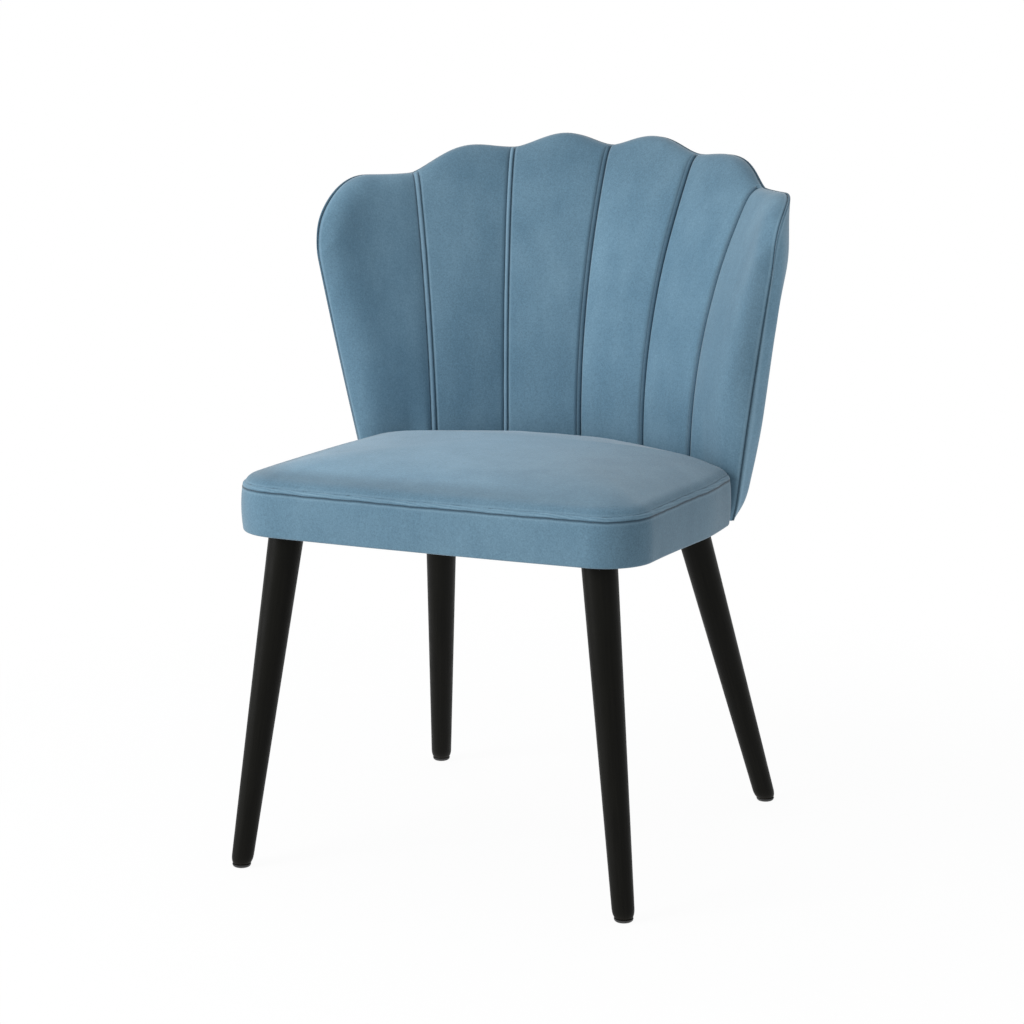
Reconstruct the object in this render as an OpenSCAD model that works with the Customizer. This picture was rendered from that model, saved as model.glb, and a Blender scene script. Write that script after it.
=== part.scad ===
// Upholstered dining chair with a fluted shell back, a slab seat and four turned legs.
// Millimetres. X is across the chair, the sitter faces -Y, Z is up and the floor is Z = 0.
// The origin is on the floor, in the middle of the chair's footprint.

/* [Seat] */
// Height of the seat's underside above the floor
seat_z = 400; // [360:1:440]
// Width across the seat's sides
seat_w = 506; // [470:1:540]
// Distance from the middle of the chair to the seat's front edge
seat_front = 276.5; // [255:0.5:300]
// How far the front edge bows forward at its middle
front_bow = 5; // [0:0.5:12]
// Radius of the two front corners
front_corner_r = 58; // [45:1:75]
// Height of the side band, from the underside to the seam
band_h = 52; // [46:1:64]
// How far the band swells past the outline
band_swell = 1.6; // [0:0.1:4]
// Rise of the cushion's shoulder above the seam
shoulder_h = 4.5; // [3:0.5:10]
// Radius of the cushion's shoulder
shoulder_r = 18; // [14:1:26]
// Extra rise of the crown in the middle of the cushion
crown_h = 20.5; // [12:0.5:26]
// Radius of the sewn welt round the seat
welt_r = 2.6; // [2:0.1:3.4]
// Thickness of the covers, with the thin foam that backs them
cover_t = 3; // [2:0.1:4]

/* [Seat frame] */
// Height of the frame rails
rail_h = 27; // [24:1:34]
// Thickness of the frame rails
rail_t = 25; // [20:1:30]
// Diameter of the wooden dowels in the frame joints
dowel_d = 8; // [6:1:10]
// Length of the wooden dowels
dowel_l = 36; // [28:1:44]
// Width of the elastic webbing straps
strap_w = 50; // [40:1:60]
// Thickness of the webbing straps
strap_t = 1.6; // [1.2:0.1:2.2]
// Sideways step between the straps that run front to back
strap_step_x = 92; // [80:1:110]
// Step between the straps that run from side to side
strap_step_y = 92; // [80:1:105]

/* [Back shell] */
// Half width of the shell's middle surface where it starts, at the seat's underside
base_half_w = 243; // [235:1:250]
// Half width of the middle surface at the waist height
waist_half_w = 280.5; // [270:0.5:290]
// Half width of the middle surface at the crest height
crest_half_w = 318.5; // [305:0.5:330]
// Depth of the spine behind the middle of the chair, at the base
base_spine_y = 192; // [186:0.5:200]
// Depth of the spine at the waist
waist_spine_y = 201; // [194:0.5:210]
// Depth of the spine at the crest
crest_spine_y = 286; // [270:0.5:296]
// Depth of the wing's front edge at the base
base_edge_y = 71; // [66:0.5:76]
// Depth of the wing's front edge at the waist
waist_edge_y = 45.5; // [38:0.5:54]
// Depth of the wing's front edge at the crest
crest_edge_y = 34; // [26:0.5:44]
// Angle between straight ahead and the wing's edge at the base
base_edge_turn = 47; // [42:0.5:52]
// The same angle at the waist
waist_edge_turn = 29.5; // [24:0.5:36]
// The same angle at the crest
crest_edge_turn = -21.5; // [-28:0.5:-10]
// Height of the waist above the seat's underside
waist_h = 215; // [200:1:230]
// Height of the crest above the seat's underside
crest_h = 430; // [415:1:445]
// Height of the top edge at the spine seam, above the seat's underside
top_spine_h = 410; // [398:1:422]
// Height of the top edge at the second seams
top_second_h = 404.5; // [393:0.5:416]
// Height of the top edge at the outer seams
top_outer_h = 375; // [364:1:387]
// Height that the top edge of the wings runs up to, before their corners fall
top_wing_h = 391; // [380:1:402]
// Height of the rounded upper corner of each wing
wing_corner_h = 102; // [80:1:115]
// Rise of the two middle scallops above their seams
middle_scallop_h = 14.5; // [8:0.5:24]
// Rise of the two scallops beside them
second_scallop_h = 13; // [8:0.5:22]
// Sag of the top edge between the outer seams and the wings' corners
wing_sag = 11.5; // [4:0.5:16]

/* [Back layers] */
// Thickness of the bent plywood shell
ply_t = 7; // [6:0.5:8]
// Depth from the middle surface to the sewn valleys of the lining
valley_depth = 17; // [15:0.5:20]
// Height of the channels' crowns above the valleys
channel_crown = 7.5; // [5:0.5:10]
// Height of the crown of the two wing channels
wing_crown = 9.5; // [7:0.5:12]
// Depth from the middle surface to the back of the outer cover
outer_depth = 25; // [20:0.5:28]
// Radius of the lining's rolled edge
inner_roll_r = 24; // [20:1:30]
// Width over which the outer cover swells behind the wings' edges
outer_roll_r = 18; // [14:1:26]
// Height over which the shell thickens below its top edge
outer_top_r = 131; // [110:1:160]
// Radius of the outer cover's lower edge
outer_foot_r = 20; // [14:1:24]
// Radius of the sewn welts between the channels
seam_welt_r = 2.5; // [1.8:0.1:3]

/* [Legs] */
// Diameter of a leg at its top
leg_top_d = 41; // [36:0.5:46]
// Diameter of a leg at its foot
leg_foot_d = 25; // [20:0.5:28]
// Distance from the seat's sides to the front legs' tops
front_top_in = 58; // [54:0.5:66]
// Distance from the seat's front edge to the front legs' tops
front_top_back = 46.5; // [43:0.5:54]
// How far the front feet stand out beside the legs' tops
front_splay_x = 47.5; // [36:0.5:54]
// How far the front feet stand out before the legs' tops
front_splay_y = 36.5; // [27:0.5:46]
// Distance from the seat's sides to the rear legs' tops
rear_top_in = 90.5; // [86:0.5:96]
// Distance from the spine's base to the rear legs' tops
rear_top_front = 78.5; // [74:0.5:84]
// How far the rear feet stand out beside the legs' tops
rear_splay_x = 63.5; // [50:0.5:72]
// How far the rear feet stand out behind the legs' tops
rear_splay_y = 129.5; // [118:0.5:140]
// Height of the glides under the feet
glide_h = 4; // [3:0.5:6]
// Diameter of the flat on which each glide stands
glide_flat_d = 14; // [10:0.5:16]

/* [Hardware] */
// Diameter of the leg bolts
leg_bolt_d = 8; // [6:1:10]
// Depth of the leg bolts in the legs
leg_bolt_depth = 22; // [16:1:24]
// Diameter of the bolts that hold the back
back_bolt_d = 6; // [5:0.5:8]

/* [Hidden] */
$fn = 48;

// Air between soft layers and what they lie on
gap = 0.3;
// Thickness of the dust cover under the seat
dust_t = 0.7;
// Radial room of a bolt in its hole
bolt_room = 0.3;
// Length that cutting tools reach past the faces they cut
over = 1;
// Air in a glued joint of the frame
glue_room = 0.1;
// Half the air between the two covers of the back where their edges meet
edge_air = 0.2;

// Heights through the seat, from the underside up
hem_z = seat_z + dust_t + gap;
frame_z = hem_z + cover_t + gap;
frame_top = frame_z + rail_h;
cross_z = frame_top + strap_t + 0.2;
foam_z = cross_z + strap_t + gap;
crease_z = seat_z + band_h;
band_top = crease_z - welt_r - gap;
cover_z = crease_z + welt_r + gap;

function lerp(a, b, u) = a + (b - a) * u;
function crown(u) = sqrt(max(0, 1 - u * u));
function unit(v) = v / norm(v);
// Quarter-round that rises from 0 at the edge to 1 at the distance r from it
function rolled(d, r) = r <= 0 ? 1 : crown(1 - min(max(d / r, 0), 1));
// Soft step from 0 at a to 1 at b
function soft_step(a, b, x) = let (k = min(max((x - a) / (b - a), 0), 1)) k * k * (3 - 2 * k);

// Seat outline
side_x = seat_w / 2;
// Places of the legs' tops and feet
front_top = [side_x - front_top_in, front_top_back - seat_front];
front_foot = front_top + [front_splay_x, -front_splay_y];
rear_top = [side_x - rear_top_in, base_spine_y - rear_top_front];
rear_foot = rear_top + [rear_splay_x, rear_splay_y];
// Half width of the front edge's straight middle, and radius of its bend
bow_x = 86;
bow_r = 5000;
// Where the sides start to taper, the radius there, and how much they taper
taper_y = -32;
taper_r = 500;
taper = 7.5;
// The shoulder beside each wing: distance in front of the wing's edge, and radius
wing_room = 18.5;
shoulder_corner_r = 28;
// The rear corners in front of the lining: distance from the side and from the spine, and radius
rear_side_in = 103;
rear_side_room = 76;
rear_side_r = 120;
// The rear edge: half width of its middle, distance from the spine there and behind it, and radius
rear_x = 84;
rear_room = 40;
rear_mid_room = 31;
rear_r = 100;
// Corners of the right half from the front middle to the rear middle:
// place, radius and number of steps in the round.
seat_corners = [
  [0, -seat_front, 0, 0],
  [bow_x, -seat_front, bow_r, 2],
  [side_x, -seat_front + front_bow, front_corner_r, 8],
  [side_x, taper_y, taper_r, 2],
  [side_x - taper, base_edge_y - wing_room, shoulder_corner_r, 5],
  [side_x - rear_side_in, base_spine_y - rear_side_room, rear_side_r, 1],
  [rear_x, base_spine_y - rear_room, rear_r, 2],
  [0, base_spine_y - rear_mid_room, 0, 0]
];

// A rounded corner as steps of place and outward normal
function corner_steps(a, b, c) = let (
    p = [b[0], b[1]],
    u = unit(p - [a[0], a[1]]),
    v = unit([c[0], c[1]] - p),
    turn = acos(min(1, u * v)),
    centre = p - u * b[2] * tan(turn / 2) - [u.y, -u.x] * b[2],
    start = atan2(-u.x, u.y)
  ) [for (i = [0:b[3]]) let (w = start + turn * i / b[3])
    [centre + b[2] * [cos(w), sin(w)], [cos(w), sin(w)]]];

seat_half = concat(
  [[[0, -seat_front], [0, -1]]],
  [for (i = [1:len(seat_corners) - 2])
    each corner_steps(seat_corners[i - 1], seat_corners[i], seat_corners[i + 1])],
  [[[0, base_spine_y - rear_mid_room], [0, 1]]]
);
half_n = len(seat_half);
// Index of the first step of a corner
function corner_n(k) = k < 2 ? k : corner_n(k - 1) + seat_corners[k - 1][3] + 1;
// Last step of the shoulder beside the wing, where the band ends
band_n = corner_n(5) - 1;
// Middle step of the front corner, where the rails meet
mitre_n = corner_n(2) + seat_corners[2][3] / 2;

// A point of the outline, drawn in by d, with negative i on the left
function seat_pt(i, d) = let (s = seat_half[abs(i)], q = s[0] - d * s[1])
  i < 0 ? [-q.x, q.y] : q;
function seat_run(i, j, d) = [for (k = [i:(j > i ? 1 : -1):j]) seat_pt(k, d)];
function seat_loop(d) = [for (k = [-half_n + 2:half_n - 1]) seat_pt(k, d)];

// Back shell: its middle surface
// Plans at three heights, each half a cubic curve from the spine to the wing's edge.
// Reach of each curve's two inner poles, at the spine and at the edge
base_reach = [96, 92];
waist_reach = [108, 100.5];
crest_reach = [157.5, 153.5];

function plan_poles(spine_y, half_w, edge_y, turn, reach) = [[0, spine_y], [reach[0], spine_y],
  [half_w - reach[1] * sin(turn), edge_y + reach[1] * cos(turn)], [half_w, edge_y]];
base_poles = plan_poles(base_spine_y, base_half_w, base_edge_y, base_edge_turn, base_reach);
waist_poles = plan_poles(waist_spine_y, waist_half_w, waist_edge_y, waist_edge_turn, waist_reach);
crest_poles = plan_poles(crest_spine_y, crest_half_w, crest_edge_y, crest_edge_turn, crest_reach);
waist_s = waist_h / crest_h;

// Quadratic through the three heights
function through(a, m, b, s) = let (
    w = waist_s,
    k = (m - (1 - w) * (1 - w) * a - w * w * b) / (2 * w * (1 - w))
  ) (1 - s) * (1 - s) * a + 2 * s * (1 - s) * k + s * s * b;
function poles_at(z) = let (s = (z - seat_z) / crest_h)
  [for (i = [0:3]) through(base_poles[i], waist_poles[i], crest_poles[i], s)];
function cubic(c, t) = let (r = 1 - t)
  r * r * r * c[0] + 3 * r * r * t * c[1] + 3 * r * t * t * c[2] + t * t * t * c[3];
// Length of half the plan, from the mean of its chord and its poles
function plan_len(z) = let (c = poles_at(z))
  (norm(c[3] - c[0]) + norm(c[1] - c[0]) + norm(c[2] - c[1]) + norm(c[3] - c[2])) / 2;
function mid_pt(t, z) = let (q = cubic(poles_at(z), t)) [q.x, q.y, z];
function mid_out(t, z) = unit(cross(mid_pt(t, z + 1) - mid_pt(t, z - 1),
  mid_pt(t + 0.002, z) - mid_pt(t - 0.002, z)));
function shell_pt(t, z, o) = mid_pt(t, z) + o * mid_out(t, z);

// Seams: the share of the half plan at which they run, at the base and at the crest
second_seam = [0.368, 0.258];
outer_seam = [0.7, 0.525];
function seam_at(s, z) = lerp(s[0], s[1], (z - seat_z) / crest_h);

// A column is a channel, 0 to 2 from the spine out, and a share of its width
function column_t(c, z, inset) = let (a = seam_at(second_seam, z), b = seam_at(outer_seam, z))
  c[0] == 0 ? a * c[1] :
  c[0] == 1 ? lerp(a, b, c[1]) :
  lerp(b, 1 - inset / plan_len(z), c[1]);

// Top edge, with its scallops and the rounded corners of the wings
// Share of a wing where its corner starts to fall, and the wing's width along its top
corner_from = 0.3;
wing_span = 200;
// A scallop, soft where it meets its seams
function scallop(u) = pow(sin(180 * u), 1.16);
// The line from the second seam to the outer one drops late
late_drop = 1.3;
function wing_corner(c) = c[0] < 2 ? 0 : max(0, (c[1] - corner_from) / (1 - corner_from));
function edge_top(c, inset) = seat_z - inset + (
  c[0] == 0 ? lerp(top_spine_h, top_second_h, c[1]) + middle_scallop_h * scallop(c[1]) :
  c[0] == 1 ? lerp(top_second_h, top_outer_h, pow(c[1], late_drop)) + second_scallop_h * scallop(c[1]) :
  lerp(top_outer_h, top_wing_h, c[1]) - wing_sag * scallop(c[1])
    - (wing_corner_h - inset) * (1 - crown(wing_corner(c))));
// Share of a vertical distance that is square to the top edge
function edge_slant(c) = let (k = min(wing_corner(c), 0.999))
  1 / norm([1, wing_corner_h * k / crown(k) / (1 - corner_from) / wing_span]);

// Lower edge: the lining stops above the seat frame, apart from the tongues of the wings
lining_z = frame_top + 4;
shell_foot_z = seat_z + 2;
tongue_from = 0.4;
function edge_foot(c, kind) = kind == "outer" || kind == "padding"
  || (c[0] == 2 && c[1] > tongue_from) ? shell_foot_z : lining_z;

// Depth of the lining, pressed flatter where the seat stands against it
press_top = 62;
press_fade = 38;
function pressed(z) = 1 - soft_step(seat_z + press_top, seat_z + press_top + press_fade, z);
function lining(c, z) = let (h = c[0] < 2 ? channel_crown : wing_crown,
    w = c[0] < 2 ? 0 : soft_step(0, 0.35, c[1]))
  (valley_depth + h * crown(2 * c[1] - 1) * (1 - 0.35 * pressed(z))) * (1 - 0.4 * pressed(z) * w);

// A face of a layer: inset from the edge, lift from the foot, kind, offset at the edge,
// full offset, radius at the edge, radius at the foot. The kinds are "lining", which follows
// the channels, "seat", flat but ending where the lining does, and "outer" and "padding",
// which start at the seat's underside and swell softly. "outer" thins towards the top edge.
function swell(d, r) = sin(90 * min(max(d / r, 0), 1));
function face_offset(c, z, f) = let (
    side = (1 - column_t(c, z, f[0])) * plan_len(z) - f[0],
    top = (edge_top(c, 0) - z) * edge_slant(c) - f[0],
    full = f[2] == "lining" ? f[4] - lining(c, z) : f[4],
    rise = f[2] == "outer" ? swell(side, f[5]) * swell(top, outer_top_r - f[0]) :
      f[2] == "padding" ? swell(side, f[5]) * swell(top, f[5]) : rolled(min(side, top), f[5])
  ) lerp(f[3], full, rise * rolled(z - edge_foot(c, f[2]) - f[1], f[6]));
function face_pt(c, row, f) = let (
    top = edge_top(c, f[0]),
    foot = edge_foot(c, f[2]) + f[1],
    z = row[0] == "top" ? top - row[1] :
      row[0] == "foot" ? foot + row[1] :
      lerp(seat_z + foot_zone, edge_top(c, 0) - top_zone, row[1])
  ) shell_pt(column_t(c, z, f[0]), z, face_offset(c, z, f));

// Rows of a face: steps up from its foot, shares of the plain stretch, steps down from its top.
// The plain stretch is the same for all layers, so that they stay apart.
foot_zone = 58;
top_zone = 48;
foot_rows = [["foot", 0], ["foot", 3], ["foot", 9], ["foot", 20]];
main_rows = [for (u = [0:0.2:1]) ["main", u]];
top_rows = [["top", 20], ["top", 11], ["top", 4.5], ["top", 1.2], ["top", 0]];
lined_rows = concat([["foot", 0]], main_rows, top_rows);
outer_rows = concat(foot_rows, main_rows, top_rows);
ply_rows = concat([["foot", 0], ["foot", 17]], main_rows, [["top", 16], ["top", 0]]);

channel_shares = [0, 0.12, 0.3, 0.5, 0.7, 0.88];
wing_shares = [0, 0.1, 0.3, 0.5, 0.68, 0.82, 0.92, 0.98, 1];
half_columns = concat([for (u = channel_shares) [0, u]], [for (u = channel_shares) [1, u]],
  [for (u = wing_shares) [2, u]]);
last_column = len(half_columns) - 1;

function mirrored(p) = [-p.x, p.y, p.z];
function face_grid(rows, f) = [for (r = rows) [for (i = [-last_column:last_column])
  let (p = face_pt(half_columns[abs(i)], r, f)) i < 0 ? mirrored(p) : p]];

// A closed solid between two grids of points of the same size
module between(front, back) {
  m = len(front);
  n = len(front[0]);
  all = m * n;
  a = [for (i = [0:m - 2]) for (j = [0:n - 2]) each [
    [i * n + j, i * n + n + j + 1, i * n + j + 1],
    [i * n + j, i * n + n + j, i * n + n + j + 1]]];
  b = [for (q = a) [q[2] + all, q[1] + all, q[0] + all]];
  rim = concat([for (j = [0:n - 1]) j], [for (i = [1:m - 1]) i * n + n - 1],
    [for (j = [n - 2:-1:0]) (m - 1) * n + j], [for (i = [m - 2:-1:1]) i * n]);
  sides = [for (k = [0:len(rim) - 1]) let (p = rim[k], q = rim[(k + 1) % len(rim)]) each [
    [q, p + all, p], [q, q + all, p + all]]];
  points = concat([for (r = front) each r], [for (r = back) each r]);
  polyhedron(points, concat(a, b, sides));
}

// A solid swept through closed rings of points, each ring a list of the same length
module swept(rings) {
  m = len(rings);
  n = len(rings[0]);
  sides = [for (i = [0:m - 2]) for (j = [0:n - 1]) let (k = (j + 1) % n) each [
    [i * n + j, i * n + n + k, i * n + k],
    [i * n + j, i * n + n + j, i * n + n + k]]];
  polyhedron([for (r = rings) each r],
    concat([[for (j = [0:n - 1]) j]], sides, [[for (j = [n - 1:-1:0]) (m - 1) * n + j]]));
}

// Colours of the covers, wood and hardware
cloth = "#5f8caa";
cloth_dark = "#4f7a97";
beech = "#c9a57a";
foam_tint = "#efe6c9";
black = "#1e1d1b";
steel = "#b9bcc0";

// Layers of the back: the plywood's rear face lies a little behind the middle surface
ply_back = 2;
ply_front = ply_back - ply_t;
// Distance from the covers' edge to the plywood's
ply_inset = 26;

// Seat frame: its outer faces lie inside the side band
frame_inset = cover_t + 1 + gap;
rail_in = frame_inset + rail_t;
// Step of the outline where the side rails stop and the rear blocks start
side_n = band_n - 6;
// Shares of the half plan where the rear rail meets its blocks, and where the blocks end
rail_end = 0.36;
block_end = 0.72;
// Depth of the frame's rear face, in front of the plywood
frame_back = ply_front - 5 * gap;
// Heads, washers and recesses of the leg bolts
head_h = 5.5;
head_d = 15;
washer_t = 1.6;
washer_d = 16;
recess_d = washer_d + 2;
recess_h = head_h + washer_t + 2 * gap;
leg_tops = [front_top, rear_top];

function flat(p) = [p.x, p.y];
// Plan points along the shell at the frame's middle height
frame_mid_z = frame_z + rail_h / 2;
function shell_run(from, to, o, n) = [for (i = [0:n])
  let (t = lerp(from, to, i / n), p = shell_pt(abs(t), frame_mid_z, o))
  [t < 0 ? -p.x : p.x, p.y]];

module rail_prism(points) {
  translate([0, 0, frame_z]) linear_extrude(rail_h) polygon(points);
}

// Places of the dowels: middle of each joint, and the direction along the rails there
function rim_joint(i) = [seat_pt(i, (frame_inset + rail_in) / 2),
  atan2(seat_half[i][1].y, seat_half[i][1].x) + 90];
rear_out = mid_out(rail_end, frame_mid_z);
dowel_joints = [
  rim_joint(mitre_n),
  rim_joint(side_n),
  [flat(shell_pt(rail_end, frame_mid_z, frame_back - rail_t / 2)),
    atan2(rear_out.y, rear_out.x) - 90]
];
dowel_heights = [rail_h * 0.3, rail_h * 0.7];
dowel_room = 0.1;
module dowel_rods(d, l) {
  for (j = dowel_joints) {
    for (h = dowel_heights) {
      translate([j[0].x, j[0].y, frame_z + h]) rotate([0, 90, j[1]]) {
        cylinder(d = d, h = l, center = true, $fn = 24);
      }
    }
  }
}
module both_sides() {
  children();
  mirror([1, 0, 0]) children();
}
module dowel_bores() {
  dowel_rods(dowel_d + dowel_room, dowel_l + over);
}
module dowel_holes() {
  both_sides() dowel_bores();
}

module seat_front_rail() {
  color(beech) difference() {
    rail_prism(concat(seat_run(-mitre_n, mitre_n, frame_inset),
      seat_run(mitre_n, -mitre_n, rail_in)));
    dowel_holes();
  }
}

// Right side rail: from the front mitre to the rear block
module side_rail() {
  difference() {
    rail_prism(concat(seat_run(mitre_n, side_n, frame_inset), seat_run(side_n, mitre_n, rail_in)));
    dowel_bores();
  }
}
module seat_right_rail() {
  color(beech) side_rail();
}
module seat_left_rail() {
  color(beech) mirror([1, 0, 0]) side_rail();
}

// Places of the bolts that hold the back, as shares of the half plan
rail_bolts = [0.13, 0.28];
block_bolt = 0.5;
back_bolt_z = frame_mid_z;
module at_shell(t, o) {
  p = shell_pt(t, back_bolt_z, o);
  n = mid_out(t, back_bolt_z);
  translate(p) rotate([0, 90, atan2(n.y, n.x)]) children();
}
module back_bolt_places() {
  both_sides() for (t = concat(rail_bolts, [block_bolt])) at_shell(t, 0) children();
}
// Offset of the frame's inner face, on which the heads of these bolts sit
bolt_head_o = frame_back - rail_t;
back_head_d = 12;
back_head_h = 4;
// The blocks are deeper than the rail, so the heads sit in a spot face there
spot_d = back_head_d + 4;
spot_depth = 60;
module back_bolt_holes() {
  back_bolt_places() {
    translate([0, 0, bolt_head_o - over]) {
      cylinder(d = back_bolt_d + 2 * bolt_room, h = 2 * rail_t);
    }
    translate([0, 0, bolt_head_o - spot_depth]) cylinder(d = spot_d, h = spot_depth);
  }
}

module seat_rear_rail() {
  color(beech) difference() {
    rail_prism(concat(shell_run(rail_end, -rail_end, frame_back, 12),
      shell_run(-rail_end, rail_end, frame_back - rail_t, 12)));
    dowel_holes();
    back_bolt_holes();
  }
}

module leg_bolt_holes(top) {
  translate([top.x, top.y, 0]) {
    cylinder(d = leg_bolt_d + 2 * bolt_room, h = 2 * seat_z);
    translate([0, 0, frame_top - recess_h]) cylinder(d = recess_d, h = rail_h);
  }
}

// Front block: glued into the corner of the rails
block_arm = 96;
block_in = rail_in + glue_room;
module front_block() {
  inner_x = side_x - block_in;
  inner_y = -seat_front + front_bow + block_in;
  difference() {
    rail_prism(concat([[inner_x - block_arm, inner_y]],
      seat_run(mitre_n - 3, mitre_n + 3, block_in), [[inner_x, inner_y + block_arm]]));
    leg_bolt_holes(front_top);
  }
}
module front_right_block() {
  color(beech) front_block();
}
module front_left_block() {
  color(beech) mirror([1, 0, 0]) front_block();
}

// Rear block: joins the side rail, the rear rail and the shell, with a neck beside the wing
block_neck = 0.55;
neck_inset = frame_inset + 2;
module rear_block() {
  run = shell_run(block_end, rail_end, frame_back, 6);
  neck = lerp(seat_pt(band_n, neck_inset), seat_pt(band_n + 1, neck_inset), block_neck);
  inner = flat(shell_pt(rail_end, frame_mid_z, frame_back - rail_t));
  difference() {
    rail_prism(concat([seat_pt(side_n, rail_in), seat_pt(side_n, frame_inset)],
      seat_run(side_n + 1, band_n, neck_inset), [neck], run, [inner]));
    leg_bolt_holes(rear_top);
    dowel_bores();
    back_bolt_holes();
  }
}
module rear_right_block() {
  color(beech) rear_block();
}
module rear_left_block() {
  color(beech) mirror([1, 0, 0]) rear_block();
}

module frame_dowels() {
  color("#d8bd92") both_sides() dowel_rods(dowel_d, dowel_l);
}

// Webbing: each strap ends on the frame, a little inside its outer face
strap_margin = 9;
strap_mid_y = -75;
strap_black = "#4a4a48";
// Depth of the frame's rear face at the distance x from the middle
function frame_rear_y(x) = [for (t = [0:0.02:block_end])
  let (p = shell_pt(t, frame_mid_z, frame_back)) if (p.x >= x) p.y][0];
module webbing_lengthwise() {
  color(strap_black) for (i = [-1:1]) {
    rear = frame_rear_y(abs(i) * strap_step_x + strap_w / 2) - strap_margin;
    front = -seat_front + front_bow + frame_inset + strap_margin;
    translate([i * strap_step_x - strap_w / 2, front, frame_top]) {
      cube([strap_w, rear - front, strap_t]);
    }
  }
}
module webbing_crosswise() {
  color(strap_black) for (i = [-1:1]) {
    half = side_x - frame_inset - strap_margin;
    translate([-half, i * strap_step_y + strap_mid_y - strap_w / 2, cross_z]) {
      cube([2 * half, strap_w, strap_t]);
    }
  }
}

// Seat cushion: rings of the outline, drawn in, then shrunk towards the middle
ring_insets = [0, 0.06, 0.25, 0.55, 1] * shoulder_r;
ring_scales = [0.93, 0.82, 0.62, 0.3];
// The crown's middle lies behind the seat's
seat_middle = [0, 25];
// How late the crown falls towards the shoulder
crown_fall = 3.4;
// The shoulder is tighter at the rear, where the cushion meets the lining
rear_shoulder_r = 10;
shoulder_from = 40;
shoulder_to = 110;
function shoulder_at(y) = lerp(shoulder_r, rear_shoulder_r, soft_step(shoulder_from, shoulder_to, y));
// Rings of the cushion's top, k below and inside the cover's outer face
function cushion_ring(i, k) = let (
    small = i >= len(ring_insets),
    d = small ? ring_insets[len(ring_insets) - 1] : ring_insets[i],
    s = small ? ring_scales[i - len(ring_insets)] : 1
  ) [for (p = seat_loop(d + k + 0.4)) let (q = lerp(seat_middle, p, s)) [q.x, q.y,
    cover_z + (shoulder_h - k) * rolled(d, shoulder_at(p.y) - k) + crown_h * (1 - pow(s, crown_fall))]];
function cushion_rings(k) = [for (i = [0:len(ring_insets) + len(ring_scales) - 1])
  cushion_ring(i, k)];

module seat_top_cover() {
  color(cloth) swept(concat(cushion_under(cover_t), cushion_rings(0)));
}
// The underside of the cover, from its middle out
function cushion_under(k) = let (r = cushion_rings(k)) [for (i = [len(r) - 1:-1:0]) r[i]];

// The foam steps in behind the welt, so that it clears the welt and the seam
foam_inset = frame_inset + 0.2;
welt_inset = 2 * welt_r + gap;
function loop_at(d, z) = [for (p = seat_loop(d)) [p.x, p.y, z]];
module seat_foam() {
  color(foam_tint) swept(concat(
    [loop_at(foam_inset, foam_z), loop_at(foam_inset, band_top - 2),
      loop_at(welt_inset + gap, band_top), loop_at(welt_inset + gap, cover_z - 2 * gap)],
    cushion_rings(welt_inset)));
}

// Inset of the dust cover's edge
dust_inset = 12;
// Side band: a swelling strip with a rolled lower edge and a hem under the frame
hem_w = 22;
hem_ease = 2;
hem_top = frame_z - 0.2;
band_in = cover_t + 0.8;
// The rolled edge hangs a little below the dust cover
lip_drop = 0.5;
lip_z = seat_z - lip_drop;
// Outer face as shares of the band's height, swelling between a third and two thirds
band_profile = [[band_in, hem_top], [band_in, band_top], [0, band_top],
  [-band_swell, seat_z + 0.7 * band_h], [-band_swell, seat_z + 0.3 * band_h],
  [0.4, lip_z + hem_ease], [hem_ease + 1, lip_z], [dust_inset - 4, lip_z],
  [dust_inset - 1, hem_z], [hem_w, hem_z], [hem_w, hem_top]];
module seat_side_band() {
  color(cloth) swept([for (i = [-band_n:band_n]) [for (q = band_profile)
    let (p = seat_pt(i, q[0])) [p.x, p.y, q[1]]]]);
}

module seat_welt() {
  color(cloth_dark) swept([for (i = [-band_n:band_n]) [for (w = [0:60:300])
    let (p = seat_pt(i, welt_r - 0.4 + welt_r * cos(w))) [p.x, p.y, crease_z + welt_r * sin(w)]]]);
}

// Dust cover: over the hems in front and at the sides, over the frame at the rear
module seat_dust_cover() {
  color("#23252a") translate([0, 0, seat_z]) linear_extrude(dust_t) difference() {
    polygon(concat(seat_run(-side_n - 2, side_n + 2, dust_inset),
      shell_run(block_end, -block_end, frame_back - dust_inset / 2, 16)));
    for (s = [-1, 1], p = leg_tops) translate([s * p.x, p.y]) circle(d = leg_bolt_d + 2 * bolt_room);
  }
}

// Back layers, from the lining out
module back_inner_cover() {
  color(cloth) between(
    face_grid(lined_rows, [0, 0, "lining", -edge_air, 0, inner_roll_r, 0]),
    face_grid(lined_rows, [cover_t, 0, "lining", -edge_air, cover_t, inner_roll_r - cover_t, 0]));
}

module back_foam() {
  k = cover_t + gap;
  color(foam_tint) between(
    face_grid(lined_rows, [k + 0.5, 0, "lining", -1.2, k, inner_roll_r - k, 0]),
    face_grid(lined_rows, [k + 0.5, 0, "seat", -0.6, ply_front - 2 * gap, 6, 0]));
}

module back_shell() {
  color("#b98f62") difference() {
    between(
      face_grid(ply_rows, [ply_inset, 7, "padding", ply_front, ply_front, 1, 0]),
      face_grid(ply_rows, [ply_inset, 7, "padding", ply_back, ply_back, 1, 0]));
    back_bolt_places() {
      cylinder(d = tee_barrel_d + 2 * bolt_room, h = 4 * ply_t, center = true);
      translate([0, 0, ply_back - tee_sunk]) cylinder(d = tee_flange_d + over, h = ply_t);
    }
  }
}

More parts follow.
